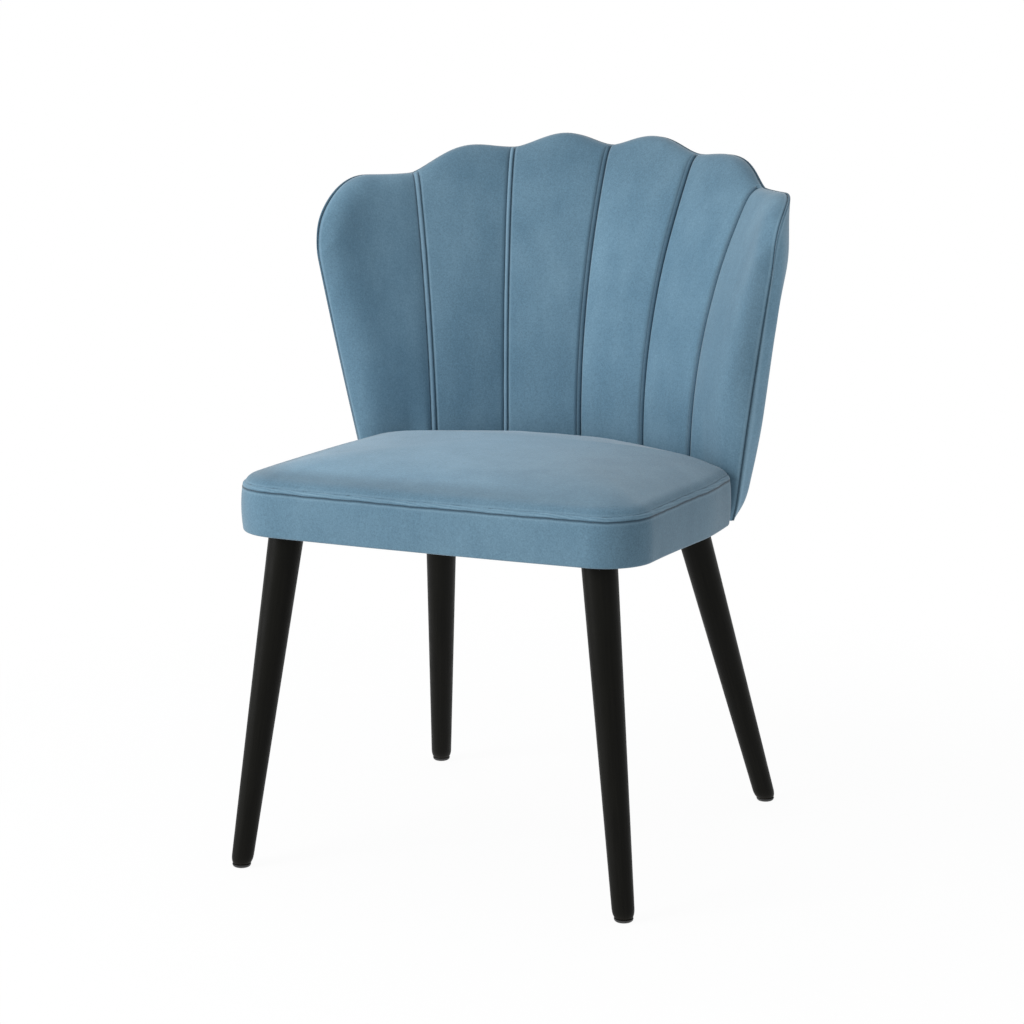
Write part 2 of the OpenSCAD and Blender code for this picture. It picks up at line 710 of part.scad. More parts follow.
module back_outer_padding() {
  color("#e9e7df") between(
    face_grid(outer_rows, [cover_t + 0.8, cover_t + 0.8, "padding", -0.25,
      ply_back + 2 * gap, ply_inset - 4, 3]),
    face_grid(outer_rows, [cover_t + 0.8, cover_t + 0.8, "outer", 0,
      outer_depth - cover_t - gap, outer_roll_r - cover_t, outer_foot_r - cover_t]));
}

module back_outer_cover() {
  color(cloth) between(
    face_grid(outer_rows, [cover_t, cover_t, "outer", edge_air, outer_depth - cover_t,
      outer_roll_r - cover_t + 0.5, outer_foot_r - cover_t]),
    face_grid(outer_rows, [0, 0, "outer", edge_air, outer_depth, outer_roll_r, outer_foot_r]));
}

// Sewn welts in the valleys between the channels
welt_rise = (seam_welt_r + gap) / 0.8;
welt_heights = [0, 0.22, 0.44, 0.66, 0.84];
welt_tops = [30, 18, 9, 4];
// Depth below the top edge at which the even steps end
welt_even = 40;
function welt_ring(c, z) = let (
    t = column_t(c, z, 0),
    o = face_offset(c, z, [0, 0, "lining", -edge_air, 0, inner_roll_r, 0]) - welt_rise,
    n = mid_out(t, z),
    a = unit([n.y, -n.x, 0])
  ) [for (w = [0:60:300]) mid_pt(t, z) + o * n + seam_welt_r * (a * cos(w) + n * sin(w))];
module seam_welt(c) {
  top = edge_top(c, 0);
  swept(concat([for (u = welt_heights) welt_ring(c, lerp(lining_z + over, top - welt_even, u))],
    [for (h = welt_tops) welt_ring(c, top - h)]));
}
module back_seam_welts() {
  color(cloth_dark) {
    seam_welt([0, 0]);
    both_sides() {
      seam_welt([1, 0]);
      seam_welt([2, 0]);
    }
  }
}

// Hardware of the back
tee_barrel_d = 8.4;
tee_flange_d = 19;
tee_flange_t = 1.2;
tee_sunk = tee_flange_t + 0.9;
module back_bolts() {
  color(steel) back_bolt_places() {
    translate([0, 0, bolt_head_o]) {
      cylinder(d = back_bolt_d, h = ply_back - bolt_head_o - tee_sunk);
      translate([0, 0, -back_head_h]) cylinder(d = back_head_d, h = back_head_h);
    }
  }
}
module back_tee_nuts() {
  color(steel) back_bolt_places() difference() {
    union() {
      translate([0, 0, ply_front]) cylinder(d = tee_barrel_d, h = ply_t - tee_sunk);
      translate([0, 0, ply_back - tee_sunk]) cylinder(d = tee_flange_d, h = tee_flange_t);
    }
    cylinder(d = back_bolt_d + bolt_room, h = 4 * ply_t, center = true);
  }
}

// Legs: turned tapers cut flat under the seat and over the glides
leg_z = seat_z - glue_room;
// Turn of each leg's grain about its own axis
grain_turn = 70;
module splayed(foot, top) {
  v = [top.x - foot.x, top.y - foot.y, seat_z];
  translate([foot.x, foot.y, 0]) rotate([0, acos(v.z / norm(v)), atan2(v.y, v.x)]) {
    rotate(grain_turn) children();
  }
}
module leg(foot, top) {
  run = norm([top.x - foot.x, top.y - foot.y, seat_z]);
  foot_r = leg_foot_d / 2;
  top_r = leg_top_d / 2;
  grow = (top_r - foot_r) / run;
  past = leg_top_d;
  color(black) difference() {
    intersection() {
      splayed(foot, top) rotate_extrude($fn = 64) polygon([[0, -past], [foot_r - grow * past, -past],
        [top_r + grow * past, run + past], [0, run + past]]);
      translate([-seat_w, -seat_w, glide_h]) cube([2 * seat_w, 2 * seat_w, leg_z - glide_h]);
    }
    translate([top.x, top.y, seat_z - leg_bolt_depth - 3 * over]) {
      cylinder(d = insert_d + glue_room, h = leg_bolt_depth + leg_top_d);
    }
  }
}
module front_right_leg() {
  leg(front_foot, front_top);
}
module front_left_leg() {
  mirror([1, 0, 0]) leg(front_foot, front_top);
}
module rear_right_leg() {
  leg(rear_foot, rear_top);
}
module rear_left_leg() {
  mirror([1, 0, 0]) leg(rear_foot, rear_top);
}

// Bolts, washers and threaded inserts that hold the legs
insert_d = leg_bolt_d + 3;
insert_top = 4;
head_z = frame_top - recess_h + washer_t;
module leg_bolts() {
  color(steel) both_sides() for (p = leg_tops) translate([p.x, p.y, 0]) {
    translate([0, 0, seat_z - leg_bolt_depth]) {
      cylinder(d = leg_bolt_d, h = head_z + over - seat_z + leg_bolt_depth);
    }
    translate([0, 0, head_z]) cylinder(d = head_d, h = head_h, $fn = 6);
  }
}
module leg_washers() {
  color(steel) both_sides() for (p = leg_tops) translate([p.x, p.y, head_z - washer_t]) {
    difference() {
      cylinder(d = washer_d, h = washer_t);
      translate([0, 0, -over]) cylinder(d = leg_bolt_d + 2 * bolt_room, h = washer_t + 2 * over);
    }
  }
}
module leg_inserts() {
  color("#c3a55a") both_sides() for (p = leg_tops) {
    translate([p.x, p.y, seat_z - leg_bolt_depth - over]) difference() {
      cylinder(d = insert_d, h = leg_bolt_depth - insert_top);
      translate([0, 0, -over]) cylinder(d = leg_bolt_d + bolt_room, h = leg_bolt_depth);
    }
  }
}

// Glides: low nylon domes with a flat to stand on
glide_rim = 1.5;
module glide(x, y) {
  rim_r = leg_foot_d / 2 - glide_rim;
  flat_r = glide_flat_d / 2;
  color("#151514") translate([x, y, 0]) rotate_extrude() polygon(concat(
    [[0, 0]],
    [for (w = [0:15:90]) [flat_r + (rim_r - flat_r) * sin(w), glide_h * 0.95 * (1 - cos(w))]],
    [[rim_r, glide_h], [0, glide_h]]));
}
function foot_centre(foot, top) = lerp(foot, top, glide_h / seat_z);
module glide_under(foot, top) {
  c = foot_centre(foot, top);
  glide(c.x, c.y);
}
module front_right_glide() {
  glide_under(front_foot, front_top);
}
module front_left_glide() {
  mirror([1, 0, 0]) glide_under(front_foot, front_top);
}
module rear_right_glide() {
  glide_under(rear_foot, rear_top);
}
module rear_left_glide() {
  mirror([1, 0, 0]) glide_under(rear_foot, rear_top);
}

seat_front_rail();
seat_left_rail();
seat_right_rail();
seat_rear_rail();
front_left_block();
front_right_block();
rear_left_block();
rear_right_block();
frame_dowels();
webbing_lengthwise();
webbing_crosswise();
seat_foam();
seat_top_cover();
seat_side_band();
seat_welt();
seat_dust_cover();
back_shell();
back_foam();
back_inner_cover();
back_seam_welts();
back_outer_padding();
back_outer_cover();
back_bolts();
back_tee_nuts();
front_left_leg();
front_right_leg();
rear_left_leg();
rear_right_leg();
leg_bolts();
leg_washers();
leg_inserts();
front_left_glide();
front_right_glide();
rear_left_glide();
rear_right_glide();
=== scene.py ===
# %% [markdown]
# # Dressing an upholstered shell chair
# The hard frame of this chair comes from the CAD model. Here each part that shows gets the form
# and finish of the real one: a fluted back in short-nap velvet, a crowned seat with a twin-needle
# seam, turned legs in near-black lacquer. Everything is built in the CAD model's own frame:
# x to the right, the sitter faces -y, z up from the floor. Measures are in millimetres, and MM
# turns them into Blender's metres.

# %% Tools and the CAD frame
import math

import bpy
import numpy as np
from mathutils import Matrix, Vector


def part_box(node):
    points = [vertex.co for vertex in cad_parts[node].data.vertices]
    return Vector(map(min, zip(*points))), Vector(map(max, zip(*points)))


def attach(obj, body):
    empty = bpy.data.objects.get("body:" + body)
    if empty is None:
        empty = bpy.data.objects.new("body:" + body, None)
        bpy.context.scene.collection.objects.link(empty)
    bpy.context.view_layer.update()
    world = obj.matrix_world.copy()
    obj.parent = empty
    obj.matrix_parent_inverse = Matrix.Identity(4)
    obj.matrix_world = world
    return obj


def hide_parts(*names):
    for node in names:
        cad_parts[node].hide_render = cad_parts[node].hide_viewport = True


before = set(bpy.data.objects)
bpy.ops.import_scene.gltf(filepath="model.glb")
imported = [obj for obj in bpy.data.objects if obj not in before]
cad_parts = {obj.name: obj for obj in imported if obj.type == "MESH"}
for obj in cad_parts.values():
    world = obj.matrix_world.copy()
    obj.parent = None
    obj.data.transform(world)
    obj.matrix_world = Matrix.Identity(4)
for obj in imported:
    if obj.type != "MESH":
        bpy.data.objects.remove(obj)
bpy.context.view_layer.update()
scene = bpy.context.scene
MM = 0.001

# %% [markdown]
# ## The camera
# A product photograph of a chair is taken from a little above the seat with a long lens, so that
# the legs stay nearly parallel. The camera could be placed by eye. Here its place and lens were
# solved from the four feet on the floor and the seams of the back, which makes every comparison
# with the photograph a fair one.

# %% Camera
TARGET = Vector((0, -0.032, 0.401))
TURN, RISE, DISTANCE, LENS = 0.4244, 0.2000, 3.7712, 112.04
camera = bpy.data.objects.new("camera", bpy.data.cameras.new("camera"))
camera.data.sensor_width = 36
camera.data.lens = LENS
camera.data.clip_end = 60
toward = Vector((math.sin(TURN) * math.cos(RISE), -math.cos(TURN) * math.cos(RISE), math.sin(RISE)))
camera.location = TARGET + DISTANCE * toward
camera.rotation_euler = toward.to_track_quat("Z", "Y").to_euler()
scene.collection.objects.link(camera)
scene.camera = camera
print("camera:", DISTANCE, "m from the chair, lens", LENS, "mm")

# %% [markdown]
# ## Short helpers for nodes
# A material is a network of nodes. It could be wired by hand in the editor, but a few helpers that
# add, mix and link nodes keep each finish down to some lines that can be read and changed.

# %% Node helpers
def new_material(name):
    """An empty material and its node tree."""
    material = bpy.data.materials.new(name)
    material.use_nodes = True
    material.node_tree.nodes.clear()
    return material, material.node_tree


def add(tree, kind, inputs=(), **settings):
    """A node with its settings, and its sockets set to values or linked to other sockets."""
    node = tree.nodes.new("ShaderNode" + kind)
    for key, value in settings.items():
        setattr(node, key, value)
    for key, value in dict(inputs).items():
        if isinstance(value, bpy.types.NodeSocket):
            tree.links.new(value, node.inputs[key])
        else:
            node.inputs[key].default_value = value
    return node


def ramp(tree, source, stops):
    """Colours or grey values blended along a 0 to 1 signal."""
    node = add(tree, "ValToRGB", {"Fac": source})
    elements = node.color_ramp.elements
    while len(elements) < len(stops):
        elements.new(0.5)
    for element, (place, value) in zip(elements, stops):
        element.position = place
        colour = value if isinstance(value, tuple) else (value,) * 3
        element.color = (*colour, 1)
    return node.outputs["Color"]


def mixed(tree, fac, a, b, blend="MIX"):
    """Two colours, each a value or a socket, blended by fac."""
    node = add(tree, "Mix", data_type="RGBA", blend_type=blend)
    for index, value in ((0, fac), (6, a), (7, b)):
        if isinstance(value, bpy.types.NodeSocket):
            tree.links.new(value, node.inputs[index])
        elif index:
            node.inputs[index].default_value = (*value, 1)
        else:
            node.inputs[index].default_value = value
    return node.outputs[2]


def noise(tree, scale, detail=2.0, stretch=(1, 1, 1), **more):
    """Noise in metres of the object's own space, stretched where stretch is below 1."""
    place = add(tree, "TexCoord").outputs["Object"]
    if stretch != (1, 1, 1):
        place = add(tree, "Mapping", {"Vector": place, "Scale": stretch}).outputs["Vector"]
    node = add(tree, "TexNoise", {"Vector": place, "Scale": scale, "Detail": detail, **more})
    return node.outputs["Fac"]


def math_node(tree, operation, a, b):
    """A calculation with two values or sockets."""
    node = add(tree, "Math", operation=operation)
    for index, value in enumerate((a, b)):
        if isinstance(value, bpy.types.NodeSocket):
            tree.links.new(value, node.inputs[index])
        else:
            node.inputs[index].default_value = value
    return node.outputs[0]


def bump(tree, height, strength, distance, under=None):
    """Relief from a 0 to 1 signal, distance metres high, on top of the relief under it."""
    inputs = {"Height": height, "Strength": strength, "Distance": distance}
    if under is not None:
        inputs["Normal"] = under
    return add(tree, "Bump", inputs).outputs["Normal"]


def surface(tree, **sockets):
    """A Principled shader on the output; underscores in the socket names stand for spaces."""
    shader = add(tree, "BsdfPrincipled", {k.replace("_", " "): v for k, v in sockets.items()})
    add(tree, "OutputMaterial", {"Surface": shader.outputs[0]})


# %% [markdown]
# ## Light and floor
# A white studio: a broad soft box from the front left, a low one further left, a weak one above
# and an even white surround that fills the shadows. The floor is a pale disc that fades into the
# surround, so no horizon shows, and it keeps the chair's soft shadow. A picture of a real studio
# could light the chair too, but lamps can be moved and dimmed one by one until the light and the
# dark sides of the cloth agree with the photograph.

# %% Surround
scene.view_settings.view_transform = "Standard"
world = bpy.data.worlds.new("studio")
scene.world = world
world.use_nodes = True
tree = world.node_tree  # white to the eye and in reflections, softer as a light
tree.nodes.clear()
ray = add(tree, "LightPath").outputs
seen = math_node(tree, "MAXIMUM", ray["Is Camera Ray"], ray["Is Glossy Ray"])
seen = math_node(tree, "MAXIMUM", seen, ray["Is Transmission Ray"])
soft = add(tree, "Background", {"Color": (0.96, 0.98, 1, 1), "Strength": 0.53})
white = add(tree, "Background", {"Color": (1, 1, 1, 1), "Strength": 1.0})
both = add(tree, "MixShader", {0: seen, 1: soft.outputs[0], 2: white.outputs[0]})
add(tree, "OutputWorld", {"Surface": both.outputs[0]})
print("surround:", world.name)

# %% Floor
FLOOR_R = 1.4


def floor_material():
    """Pale and gently shaded by the chair; it fades out between 0.6 and 1.24 m from the middle."""
    material, tree = new_material("studio_floor")
    distance = add(tree, "VectorMath", {0: add(tree, "TexCoord").outputs["Object"]},
                   operation="LENGTH").outputs["Value"]
    fade = ramp(tree, math_node(tree, "DIVIDE", distance, 2.0), [(0.3, 1.0), (0.62, 0.0)])
    grit = noise(tree, 900.0, 3.0)
    tone = ramp(tree, grit, [(0.3, (0.93, 0.93, 0.93)), (0.7, (0.96, 0.96, 0.96))])
    lit = add(tree, "BsdfDiffuse", {"Color": tone})
    glow = add(tree, "Emission", {"Color": (1, 1, 1, 1), "Strength": 1.0})
    part = add(tree, "MixShader", {0: 0.95, 1: lit.outputs[0], 2: glow.outputs[0]})
    clear = add(tree, "BsdfTransparent")
    faded = add(tree, "MixShader", {0: fade, 1: clear.outputs[0], 2: part.outputs[0]})
    add(tree, "OutputMaterial", {"Surface": faded.outputs[0]})
    return material


def disc(name, radius, steps, material):
    """A flat round sheet on the floor's level."""
    mesh = bpy.data.meshes.new(name)
    turn = [2 * math.pi * k / steps for k in range(steps)]
    mesh.from_pydata([(radius * math.cos(a), radius * math.sin(a), 0) for a in turn], [],
                     [list(range(steps))])
    mesh.materials.append(material)
    piece = bpy.data.objects.new(name, mesh)
    scene.collection.objects.link(piece)
    return piece


floor = disc("floor", FLOOR_R, 96, floor_material())
print("floor:", FLOOR_R, "m in radius")

# %% Lamps
def soft_box(name, place, aim, width, height, power):
    """A rectangular lamp that looks at a point."""
    lamp = bpy.data.lights.new(name, "AREA")
    lamp.shape = "RECTANGLE"
    lamp.size, lamp.size_y, lamp.energy = width, height, power
    box = bpy.data.objects.new(name, lamp)
    box.location = place
    box.rotation_euler = (Vector(place) - Vector(aim)).to_track_quat("Z", "Y").to_euler()
    scene.collection.objects.link(box)
    print("lamp", name, "-", power, "W")


soft_box("key", (-1.8, -2.8, 2.1), (0, 0, 0.5), 1.6, 1.6, 72)
soft_box("low", (-2.6, -2.1, 0.6), (0, 0, 0.5), 1.6, 1.0, 31)
soft_box("top", (-0.4, 0.0, 3.0), (0, 0, 0.4), 2.0, 2.0, 14)

# %% [markdown]
# ## Velvet
# The cover is a short-nap polyester velvet. Its pile stands up, so it looks matt and slightly
# chalky, goes lighter where it turns away from the eye, and shows faint clouds where a hand has
# laid the nap. Real hairs would be the long way: at half a millimetre they can't be told apart, so
# a rough surface with sheen and fine relief looks the same. Light and shade are also painted into
# the colour, by three marks set on each mesh as it is built: painted shade in the sewn creases,
# painted highlights on the lips beside them, and broad painted light and shade over whole panels.
# So the painted light follows the sewing.

# %% Velvet
CLOTH, CLOTH_PALE = (0.104, 0.196, 0.270), (0.142, 0.250, 0.332)
# Colours of the painted shade in creases and of the painted highlights on lips
CREASE_SHADE_COLOUR, LIP_HIGHLIGHT_COLOUR = (0.022, 0.047, 0.072), (0.27, 0.42, 0.53)


def velvet(name, clouds=1.0):
    """Velvet; with clouds below 1 its light and dark patches are fainter."""
    material, tree = new_material(name)
    wide = noise(tree, 9.0, 2.0, stretch=(1, 1, 0.5), Roughness=0.5)
    small = noise(tree, 34.0, 3.0, stretch=(1, 1, 0.45), Roughness=0.55)
    cloud = math_node(tree, "ADD", math_node(tree, "MULTIPLY", wide, 0.55),
                      math_node(tree, "MULTIPLY", small, 0.45))
    cloud = ramp(tree, cloud, [(0.5 - 0.15 / clouds, 0.0), (0.5 + 0.15 / clouds, 1.0)])
    colour = mixed(tree, cloud, CLOTH, CLOTH_PALE)
    grain = noise(tree, 560.0, 3.0, Roughness=0.7)
    grain = ramp(tree, grain, [(0.25, 0.8), (0.75, 1.17)])
    colour = mixed(tree, 1.0, colour, grain, "MULTIPLY")
    thread = ramp(tree, noise(tree, 260.0, 2.0), [(0.3, 0.95), (0.7, 1.04)])
    colour = mixed(tree, 1.0, colour, thread, "MULTIPLY")
    # Painted highlights on lips, broad painted light and shade that scales the colour, and painted shade
    # in creases, each from a mark on the mesh
    lip = add(tree, "Attribute", attribute_name="lip").outputs["Fac"]
    colour = mixed(tree, math_node(tree, "MULTIPLY", lip, 0.55), colour, LIP_HIGHLIGHT_COLOUR)
    painted_light_scale = math_node(tree, "ADD", add(tree, "Attribute", attribute_name="nap").outputs["Fac"], 1.0)
    colour = add(tree, "VectorMath", {0: colour, "Scale": painted_light_scale}, operation="SCALE").outputs[0]
    crease = add(tree, "Attribute", attribute_name="crease").outputs["Fac"]
    colour = mixed(tree, crease, colour, CREASE_SHADE_COLOUR)
    nap = bump(tree, noise(tree, 1500.0, 2.0), 0.35, 0.0004)
    pile = bump(tree, noise(tree, 420.0, 3.0), 0.25, 0.0006, nap)
    rough = ramp(tree, cloud, [(0.0, 0.88), (1.0, 0.78)])
    surface(tree, Base_Color=colour, Roughness=rough, Normal=pile, Sheen_Weight=0.33,
            Sheen_Roughness=0.4, Sheen_Tint=(1.0, 0.98, 0.96, 1), Specular_IOR_Level=0.18)
    return material


back_velvet = velvet("velvet_back")
seat_velvet = velvet("velvet_seat", clouds=0.7)
print("finishes:", back_velvet.name, seat_velvet.name)

# %% [markdown]
# ## Mesh helpers
# Cloth parts are grids of points bent along the same formulas as the CAD shell, only much finer.
# They could be sculpted, or draped by a simulation, but a formula gives the same cloth every time
# and keeps each measure in sight. A grid is closed with a second grid behind it, as the real cover
# has a front and a back.

# %% Mesh helpers
def signed_volume(mesh):
    """Above zero where the faces of a closed mesh look outward."""
    mesh.calc_loop_triangles()
    at = np.empty(len(mesh.vertices) * 3, np.float32)
    mesh.vertices.foreach_get("co", at)
    corners = np.empty(len(mesh.loop_triangles) * 3, np.int32)
    mesh.loop_triangles.foreach_get("vertices", corners)
    a, b, c = at.reshape(-1, 3)[corners.reshape(-1, 3)].astype(float).transpose(1, 0, 2)
    return float(np.einsum("ij,ij->", a, np.cross(b, c))) / 6


def new_piece(name, points, faces, material, slot, stands_for, marks=None, sharp=None):
    """A mesh that rides on the chair, takes the place of CAD nodes and carries painted marks."""
    mesh = bpy.data.meshes.new(name)
    mesh.from_pydata((np.asarray(points, float) * MM).tolist(), [], [list(f) for f in faces])
    if signed_volume(mesh) < 0:
        mesh.flip_normals()
    for key, values in (marks or {}).items():
        layer = mesh.attributes.new(key, "FLOAT", "POINT")
        layer.data.foreach_set("value", np.asarray(values, np.float32))
    mesh.polygons.foreach_set("use_smooth", [True] * len(mesh.polygons))
    if sharp:
        mesh.set_sharp_from_angle(angle=math.radians(sharp))
    mesh.materials.append(material)
    piece = bpy.data.objects.new(name, mesh)
    scene.collection.objects.link(piece)
    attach(piece, "root")
    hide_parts(*stands_for)
    print(name, "-", len(mesh.vertices), "points")
    return piece


def grid_faces(rows, columns, start=0, flip=False):
    """Four-sided faces of a grid of points whose numbers begin at start."""
    k = np.arange(rows * columns).reshape(rows, columns) + start
    quads = np.stack([k[:-1, :-1], k[1:, :-1], k[1:, 1:], k[:-1, 1:]], -1).reshape(-1, 4)
    return quads[:, ::-1] if flip else quads


def closed_sheet(front, back):
    """Points and faces of a closed sheet between two grids of the same size."""
    m, n = front.shape[:2]
    size = m * n
    k = np.arange(size).reshape(m, n)
    rim = np.concatenate([k[0, :-1], k[:-1, -1], k[-1, :0:-1], k[:0:-1, 0]])
    after = np.roll(rim, -1)
    sides = np.stack([rim, after, after + size, rim + size], -1)
    points = np.concatenate([front.reshape(-1, 3), back.reshape(-1, 3)])
    return points, np.concatenate([grid_faces(m, n), grid_faces(m, n, size, True), sides])


def closed_tube(rings):
    """Points and faces of a tube through rings, an array of (ring, point, 3), capped at its ends."""
    m, n = rings.shape[:2]
    k = np.arange(m * n).reshape(m, n)
    k = np.concatenate([k, k[:, :1]], 1)
    faces = np.stack([k[:-1, :-1], k[:-1, 1:], k[1:, 1:], k[1:, :-1]], -1).reshape(-1, 4).tolist()
    faces += [list(range(n - 1, -1, -1)), list(range((m - 1) * n, m * n))]
    return rings.reshape(-1, 3), faces


def joined(parts):
    """Points and faces of several closed bodies as one piece."""
    points, faces, shift = [], [], 0
    for p, f in parts:
        points.append(p)
        faces += [[int(i) + shift for i in face] for face in f]
        shift += len(p)
    return np.concatenate(points), faces


def painted(values, hidden, hidden_first=False):
    """A mark on the grid that shows, with none on the hidden points behind it."""
    parts = [np.ravel(values), np.zeros(hidden)]
    return np.concatenate(parts[::-1] if hidden_first else parts)


# %% Curves that ease in and out
def smooth_step(a, b, x):
    """0 up to a, 1 from b on, and an S-shaped way between."""
    k = np.clip((x - a) / (b - a), 0, 1)
    return k * k * (3 - 2 * k)


def quarter_round(d, r):
    """A rounded edge of radius r: 0 on the edge, 1 from the depth r on."""
    return np.sqrt(np.maximum(0, 1 - (1 - np.clip(d / r, 0, 1)) ** 2))


def soft_round(d, r):
    """Like quarter_round, but it levels out without a visible end."""
    return np.sqrt(np.tanh(2 * np.maximum(d, 0) / r))


def bell(x, width):
    """1 at zero, falling off to both sides."""
    return np.exp(-(x / width) ** 2)


# %% [markdown]
# ## The shell's middle surface
# A shell chair is bent over a form. Three plans, at the seat, the waist and the crest, are each
# half a cubic curve; between them the plan changes smoothly. A lofted patch surface would do as
# well, but with a formula any point can be asked for: t runs from 0 at the spine to 1 at a wing's
# edge, z is the height. Depths in front of this surface are the lining's, depths behind it the
# outer cover's.

# %% Shell surface
SEAT_Z = 400.0
CREST_H, WAIST_S = 430.0, 215.0 / 430.0
FOOT_Z = SEAT_Z + 2
CREST_FULL, CORNER_CURL = 5.5, np.array([-5.0, -15.5])


def plan_poles(spine_y, half_w, edge_y, turn, reach):
    """Four poles of half a plan: the wing's edge lies at (half_w, edge_y), turned by turn degrees."""
    a = math.radians(turn)
    return np.array([[0, spine_y], [reach[0], spine_y],
                     [half_w - reach[1] * math.sin(a), edge_y + reach[1] * math.cos(a)],
                     [half_w, edge_y]])


PLANS = [plan_poles(192, 243, 71, 47, (96, 92)),
         plan_poles(201, 280.5, 45.5, 29.5, (108, 100.5)),
         plan_poles(286, 318.5, 34, -21.5, (157.5, 153.5))]


def poles_at(z):
    """The plan's poles at a height, on a parabola through the three plans."""
    s = ((np.asarray(z, float) - SEAT_Z) / CREST_H)[..., None, None]
    w = WAIST_S
    knee = (PLANS[1] - (1 - w) ** 2 * PLANS[0] - w * w * PLANS[2]) / (2 * w * (1 - w))
    return (1 - s) ** 2 * PLANS[0] + 2 * s * (1 - s) * knee + s * s * PLANS[2]


def crest_fullness(t, z):
    """The crest stands out a little further beside the outer seams."""
    return CREST_FULL * smooth_step(650, 810, z) * bell(t - 0.47, 0.22)


def middle(t, z):
    """A point of the middle surface."""
    c = poles_at(z)
    t = np.asarray(t, float)[..., None]
    r = 1 - t
    q = (r ** 3 * c[..., 0, :] + 3 * r * r * t * c[..., 1, :] + 3 * r * t * t * c[..., 2, :]
         + t ** 3 * c[..., 3, :])
    # In plan, out of the shell: backward at the spine, sideways at the wing
    turn = 0.2 + 1.45 * t[..., 0]
    aside = np.stack([np.sin(turn), np.cos(turn)], -1)
    q = q + crest_fullness(t[..., 0], z)[..., None] * aside
    # The wings' upper corners curl forward and a little inward
    curl = smooth_step(695, 790, z) * smooth_step(0.7, 1, t[..., 0])
    q = q + curl[..., None] * CORNER_CURL
    return np.concatenate([q, np.asarray(z, float)[..., None] + 0 * t], -1)


def outward(t, z):
    """The surface's normal, which points to the chair's back."""
    up = middle(t, z + 1) - middle(t, z - 1)
    along = middle(t + 0.002, z) - middle(t - 0.002, z)
    n = np.cross(up, along)
    return n / np.linalg.norm(n, axis=-1, keepdims=True)


def plan_length(z):
    """Length of half a plan, near enough: the mean of its chord and its poles' lines."""
    c = poles_at(z)
    legs = [c[..., 3, :] - c[..., 0, :], c[..., 1, :] - c[..., 0, :],
            c[..., 2, :] - c[..., 1, :], c[..., 3, :] - c[..., 2, :]]
    return sum(np.linalg.norm(v, axis=-1) for v in legs) / 2


print("half plan:", [round(float(plan_length(h))) for h in (400, 615, 830)], "mm at three heights")

# %% [markdown]
# ## Channels and scallops
# Five seams part the back into six channels. They lie closer together at the seat than at the
# crest, as the folds of a fan do. Each channel ends in a hump of the top edge, and the outer two
# turn down in the wings' round corners. The edge could be cut from a grid with a curve, which
# leaves ragged faces; instead every column of points ends exactly on the edge.

# %% Channels and top edge
SECOND_SEAM, OUTER_SEAM = (0.368, 0.257), (0.7, 0.518)
SPINE_H, SECOND_H, OUTER_H, WING_H = 410, 404.5, 375, 391
SPINE_HUMP, SECOND_HUMP, WING_HUMP, WING_FALL = 14.5, 11.5, 7.2, 12.5
WING_CORNER_H, WING_FROM = 102.0, 0.3


def seam_share(seam, z):
    """A seam's share of the half plan at a height, from its shares at the seat and at the crest."""
    return seam[0] + (seam[1] - seam[0]) * (z - SEAT_Z) / CREST_H


def channel_bounds(channel, z):
    """Where a channel begins and ends on the half plan; channel 0 is the spine's, 2 the wing's."""
    a, b = seam_share(SECOND_SEAM, z), seam_share(OUTER_SEAM, z)
    low = np.choose(channel, [0 * a, a, b])
    high = np.choose(channel, [a, b, 0 * a + 1])
    return low, high


def top_edge(channel, u):
    """Height of the scalloped top edge at the share u of a channel."""
    hump = np.sin(math.pi * np.clip(u, 0, 1)) ** 1.65
    corner = np.clip((u - WING_FROM) / (1 - WING_FROM), 0, 1)
    fall = WING_HUMP * hump ** 0.35 + WING_FALL * smooth_step(0.36, 0.86, u)
    return SEAT_Z + np.choose(channel, [
        SPINE_H + (SECOND_H - SPINE_H) * u + SPINE_HUMP * hump,
        SECOND_H + (OUTER_H - SECOND_H) * np.clip(u, 0, 1) ** 1.3 + SECOND_HUMP * hump,
        OUTER_H + (WING_H - OUTER_H) * u - fall - WING_CORNER_H * (1 - np.sqrt(1 - corner ** 2))])


def top_slant(channel, u):
    """Share of a height that counts as distance where the edge runs down round a wing's corner."""
    corner = np.where(channel == 2, np.clip((u - WING_FROM) / (1 - WING_FROM), 0, 0.999), 0)
    rise = WING_CORNER_H * corner / np.sqrt(1 - corner ** 2) / (1 - WING_FROM) / 200
    return 1 / np.sqrt(1 + rise ** 2)


print("top edge at the seams:", [float(top_edge(np.array(c), np.array(0.0))) for c in range(3)], "mm")

# %% [markdown]
# ## Columns and rows of the back
# Points crowd together where the cloth bends: beside the seams, along the top edge and round the
# wings' corners. An even grid would need several times the points for the same edges. The same
# columns serve the lining and the outer cover, so both follow the same scallops.

# %% Columns and rows
def seam_spaced(steps, width=0.075, near=9):
    """Shares from 0 to 1 that crowd near both ends."""
    ease = np.linspace(0, 1, near) ** 1.25 * width
    mid = np.linspace(width, 1 - width, steps)
    return np.concatenate([ease[:-1], mid, (1 - ease[::-1])[1:]])


inner_shares = seam_spaced(22)
wing_shares = np.concatenate([np.linspace(0, 1, 9)[:-1] ** 1.25 * 0.045,
                              np.linspace(0.045, 0.8, 24)[:-1],
                              1 - 0.2 * (1 - np.linspace(0, 1, 34)) ** 2.4])
half_channel = np.repeat([0, 1, 2], [len(inner_shares) - 1, len(inner_shares) - 1, len(wing_shares)])
half_share = np.concatenate([inner_shares[:-1], inner_shares[:-1], wing_shares])


def both_halves(values, sign=False):
    """Half a row, mirrored onto the left; with sign, the left half is negative."""
    return np.concatenate([(-values if sign else values)[:0:-1], values])


